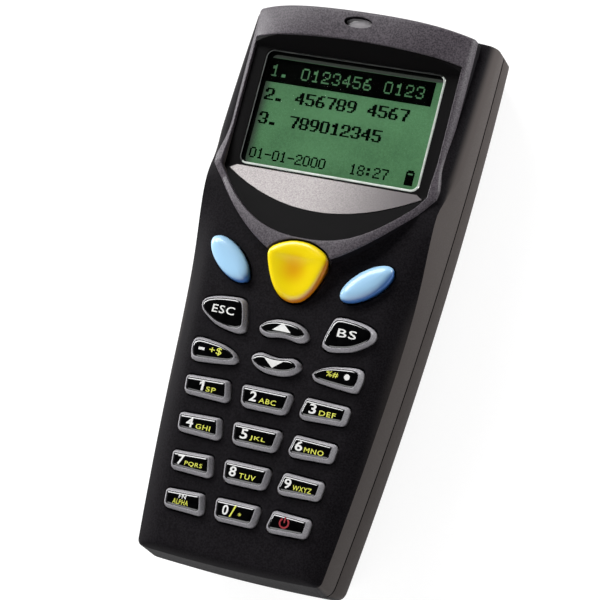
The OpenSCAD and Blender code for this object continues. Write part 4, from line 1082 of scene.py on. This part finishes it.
def lit_cells():
    """Dark cells of the panel: three tall lines, the first one reversed, a small line and a battery."""
    cells = np.zeros((68, 130), bool)

    def line(text, row, column, tall=False, bold=False):
        for k, mark in enumerate(text):
            if mark in DIGITS:
                glyph = np.array([[c == "1" for c in r] for r in DIGITS[mark].split()])
                if tall:
                    glyph = glyph[TALL][:, BROAD]
                glyph = np.pad(glyph, ((0, 0), (0, 1)))
                glyph |= bold & np.roll(glyph, 1, 1)
                left = column + (8 if tall else 6) * k
                cells[row : row + len(glyph), left : left + len(glyph[0])] |= glyph

    line("1. 0123456 0123", 4, 3, tall=True)
    line("2. 456789 4567", 20, 3, tall=True, bold=True)
    line("3. 789012345", 36, 3, tall=True, bold=True)
    line("01-01-2000   18:27", 60, 3)
    cells[:BAR_ROWS, :128] ^= True
    cells[59:68, 123:129] = True
    cells[58, 124:128] = True
    cells[60, 124:128] = False
    return cells


def lcd_dots():
    """Dark crystal: each run of dark cells in a row is one thin slab."""
    points, faces = [], []
    for row, cells in enumerate(lit_cells()):
        steps = np.flatnonzero(np.diff(np.r_[False, cells, False].astype(int))).reshape(-1, 2)
        for start, stop in steps:
            spread = STROKE if row >= BAR_ROWS else 0
            x0, x1 = (PIXELS_FROM[0] + PIXEL_X * c for c in (start, stop + spread))
            y = PIXELS_FROM[1] - PIXEL_Y * (row + 0.5)
            slab, sides = block((x0 + x1) / 2, y, LCD_TOP + 0.01, x1 - x0, 0.99 * PIXEL_Y, 0.02)
            faces += [tuple(i + len(points) for i in side) for side in sides]
            points += list(slab)
    piece("lcd_dots", points, faces, [lcd_ink], "case", "display")


lcd_dots()

# ---------- keys ----------


def key_cap(name, rings, materials, slot, **looks):
    key = f"key_{name}"
    piece(f"{key}_cap", *loft(rings), materials, key, slot, [key], **looks)


def small_key(name):
    """Silver cap whose sides slope in to a bright rim, and its glossy black top with a rounded edge."""
    # Each step is how far out it lies of the key's outline, and how high over the face
    sides = [(0, -1.0), (0, 0.25), (-0.06, 0.5), (-0.42, 1.2)]
    sides += [(-0.52, 1.4), (-0.6, 1.48), (-0.68, 1.48), (-0.73, 1.42)]
    top = [(-0.75, 1.38), (-0.84, 1.46), (-0.97, 1.535), (-1.11, 1.58), (-1.26, 1.605), (-1.42, 1.61)]
    rings = [raised(key_outline(name, d), FACE + z) for d, z in sides + top]
    n = len(rings[0])
    marks = [0] * (len(sides) - 1) * n + [1] * len(top) * n + [0, 1]
    key_cap(name, rings, [silver_cap, black_lacquer], "black_key", sharp=50, marks=marks)


def blue_key(name):
    """Pillow-shaped oval key, a little narrower at its foot."""
    steps = [(-0.55, -1.0), (-0.5, 0.1), (-0.22, 0.6), (-0.1, 0.95)]
    for t in np.linspace(0, 1, 14)[1:]:
        steps.append((-0.1 - 2.9 * t, 0.95 + (SIDE_RISE - 0.95) * math.sqrt(1 - (1 - t) ** 2.2)))
    rings = [raised(key_outline(name, d), FACE + z) for d, z in steps]
    key_cap(name, rings, [blue_cap], "blue_key", sharp=60)


def scan_key():
    """Shield-shaped key that flares to a rounded rim, dished in the middle, rising towards the display."""
    centre = np.array([0, 3.2])
    # Each step is how far out it lies of the key's outline, and how far below the rim
    steps = [(-0.04, SCAN_RIM), (0, 1.0), (-0.06, 0.7), (-0.22, 0.42)]
    steps += [(-0.48, 0.2), (-0.85, 0.06), (-1.3, 0.0)]
    rings = [raised(key_outline("scan", SCAN_FOOT), z) for z in (FACE - 1, FACE)]
    for d, drop in steps:
        rings.append(raised(key_outline("scan", d), lambda x, y: scan_top(x, y) - drop))
    rim = key_outline("scan", steps[-1][0])
    for share in np.linspace(0.9, 0.1, 9):
        drop = 0.45 * (1 - share**2) ** 1.5
        rings.append(raised(centre + (rim - centre) * share, lambda x, y: scan_top(x, y) - drop))
    key_cap("scan", rings, [yellow_cap], "yellow_key", sharp=60)


for key in KEYS:
    if key == "scan":
        scan_key()
    elif key in ("left", "right"):
        blue_key(key)
    else:
        small_key(key)

# ---------- legends ----------

# Height and thickness of the ink, and how far all the legends sit off their given places
INK_Z, INK_T, INK_SHIFT = FACE + 1.635, 0.03, (0.2, -0.1, 0)


def word(text, x0, x1, y0, y1, bold=0.01):
    """Points and faces of a word set in the box from x0, y0 to x1, y1."""
    font = bpy.data.curves.new("word", "FONT")
    font.body, font.offset, font.resolution_u, font.space_character = text, bold, 3, 1.12
    holder = bpy.data.objects.new("word", font)
    bpy.context.scene.collection.objects.link(holder)
    bpy.context.view_layer.update()
    graph = bpy.context.evaluated_depsgraph_get()
    mesh = bpy.data.meshes.new_from_object(holder.evaluated_get(graph))
    flat = np.array([v.co[:2] for v in mesh.vertices])
    faces = [tuple(p.vertices) for p in mesh.polygons]
    bpy.data.objects.remove(holder)
    bpy.data.curves.remove(font)
    bpy.data.meshes.remove(mesh)
    low, high = flat.min(0), flat.max(0)
    flat = (flat - low) / (high - low) * [x1 - x0, y1 - y0] + [x0, y0]
    return np.c_[flat, np.full(len(flat), INK_Z)], faces


def flat_shape(flat):
    flat = np.asarray(flat, float)
    return np.c_[flat, np.full(len(flat), INK_Z)], [tuple(range(len(flat)))]


def power_mark(x, y, r, half=0.17):
    """Ring that is open at the top, with a bar in the gap."""
    turns = np.radians(np.linspace(125, 415, 30))
    arc = [(x + k * math.cos(a), y + k * math.sin(a)) for a in turns for k in (r - half, r + half)]
    faces = [(2 * i, 2 * i + 1, 2 * i + 3, 2 * i + 2) for i in range(len(turns) - 1)]
    k = len(arc)
    bar = [(x + u, y + v) for u, v in ((-0.16, 0.05), (0.16, 0.05), (0.16, r + 0.3), (-0.16, r + 0.3))]
    return [(*p, INK_Z) for p in arc + bar], faces + [(k, k + 1, k + 2, k + 3)]


def thick(points, faces):
    """Gives a flat mark the thickness of its ink, whose underside is a hair inside the cap."""
    top = np.asarray(points, float)
    n = len(top)
    edges = {(a, b) for f in faces for a, b in zip(f, f[1:] + f[:1])}
    sides = sorted((b, a, a + n, b + n) for a, b in edges if (b, a) not in edges)
    under = [tuple(i + n for i in f[::-1]) for f in faces]
    return np.vstack([top, top - [0, 0, INK_T]]), faces + under + sides


def print_on(name, *marks):
    """Joins the marks of one key into one printed piece, each in its own ink."""
    inks, points, faces, which = [], [], [], []
    for ink, mark in marks:
        spots, sides = thick(*mark)
        if ink not in inks:
            inks.append(ink)
        faces += [tuple(i + len(points) for i in side) for side in sides]
        points += list(spots + INK_SHIFT)
        which += [inks.index(ink)] * len(sides)
    piece(f"key_{name}_print", points, faces, inks, f"key_{name}", "black_key", marks=which)


# Letters beside each digit, and where the digit and the letters start and end from left to right
PAIRS = {
    "1": ("SP", -14.85, -13.85, -13.2, -11.0),
    "2": ("ABC", -3.35, -1.75, -1.1, 2.7),
    "3": ("DEF", 10.05, 11.6, 12.35, 16.0),
    "4": ("GHI", -15.6, -14.0, -13.3, -10.0),
    "5": ("JKL", -3.2, -1.6, -1.0, 2.5),
    "6": ("MNO", 9.1, 10.75, 11.2, 15.5),
    "7": ("PQRS", -15.35, -13.85, -13.6, -9.6),
    "8": ("TUV", -3.5, -1.95, -1.2, 2.5),
    "9": ("WXYZ", 8.8, 10.35, 10.8, 14.95),
}
DIGIT_LOW, DIGIT_H, LETTER_H = -0.85, 2.1, 1.05
# Outline of the 1, in shares of its width and height
ONE = [[0.5, 0], [1, 0], [1, 1], [0.62, 1], [0, 0.76], [0, 0.54], [0.5, 0.72]]


def number_prints():
    for key, (letters, digit_from, digit_to, from_x, to_x) in PAIRS.items():
        low = row_at(NUMBERS.index(key) // 3) + DIGIT_LOW
        if key == "1":
            digit = flat_shape(np.array(ONE) * [digit_to - digit_from, DIGIT_H] + [digit_from, low])
        else:
            digit = word(key, digit_from, digit_to, low, low + DIGIT_H, 0.02)
        letters = word(letters, from_x, to_x, low, low + LETTER_H)
        print_on(key, (white_ink, digit), (yellow_ink, letters))


def other_prints():
    """Legends of the other keys."""
    print_on("esc", (white_ink, word("ESC", -16.5, -11.4, -8.65, -6.95)))
    print_on("back", (white_ink, word("BS", 11.9, 16.1, -8.7, -6.95)))
    print_on("up", (white_ink, flat_shape([[-2.25, -9.9], [1.95, -9.9], [-0.15, -8.15]])))
    print_on("down", (white_ink, flat_shape([[-2.25, -16.05], [-0.15, -17.75], [1.95, -16.05]])))
    dash = flat_shape([[-17.2, -17.0], [-15.85, -17.0], [-15.85, -16.45], [-17.2, -16.45]])
    print_on("minus", (white_ink, dash), (yellow_ink, word("+$", -14.75, -11.9, -17.55, -15.85)))
    dot = flat_shape(ellipse(16.3, -16.55, 0.62, 0.62))
    print_on("point", (yellow_ink, word("%#", 11.7, 14.35, -17.2, -15.95)), (white_ink, dot))
    alpha = word("ALPHA", -14.0, -10.5, -49.35, -48.3)
    print_on("fn", (white_ink, word("FN", -12.9, -11.3, -48.1, -47.2)), (yellow_ink, alpha))
    zero = word("0", -2.85, -1.5, -49.35, -47.25, 0.02)
    stroke, star = word("/", -1.1, 0.05, -49.5, -47.0), word("*", 0.75, 1.45, -49.0, -48.25)
    print_on("0", (white_ink, zero), (yellow_ink, stroke), (yellow_ink, star))
    print_on("power", (red_ink, power_mark(10.95, -48.25, 0.95)))


number_prints()
other_prints()

# ---------- carried-over nodes ----------

NODE_FINISH = {
    gasket_rubber: ["seam_gasket"],
    plate_metal: ["name_plate"],
    lcd_panel: ["lcd_panel"],
    white_plastic: ["lcd_backlight", "status_led"],
    board_resin: ["main_board", "scan_sensor"],
    silicone: ["keypad_mat"],
    nickel: ["key_domes", "cell_springs", "cell_plates", "backup_cell"],
    dark_plastic: ["buzzer", "scan_lens", "ir_module"],
    red_window: ["scan_window", "ir_window"],
    pressed: ["scan_chassis"],
    sleeve: ["aaa_cells"],
    steel: ["housing_screws"],
}
for finish, names in NODE_FINISH.items():
    for name in names:
        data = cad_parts[name].data
        data.materials.clear()
        data.materials.append(finish)
        shade(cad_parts[name])
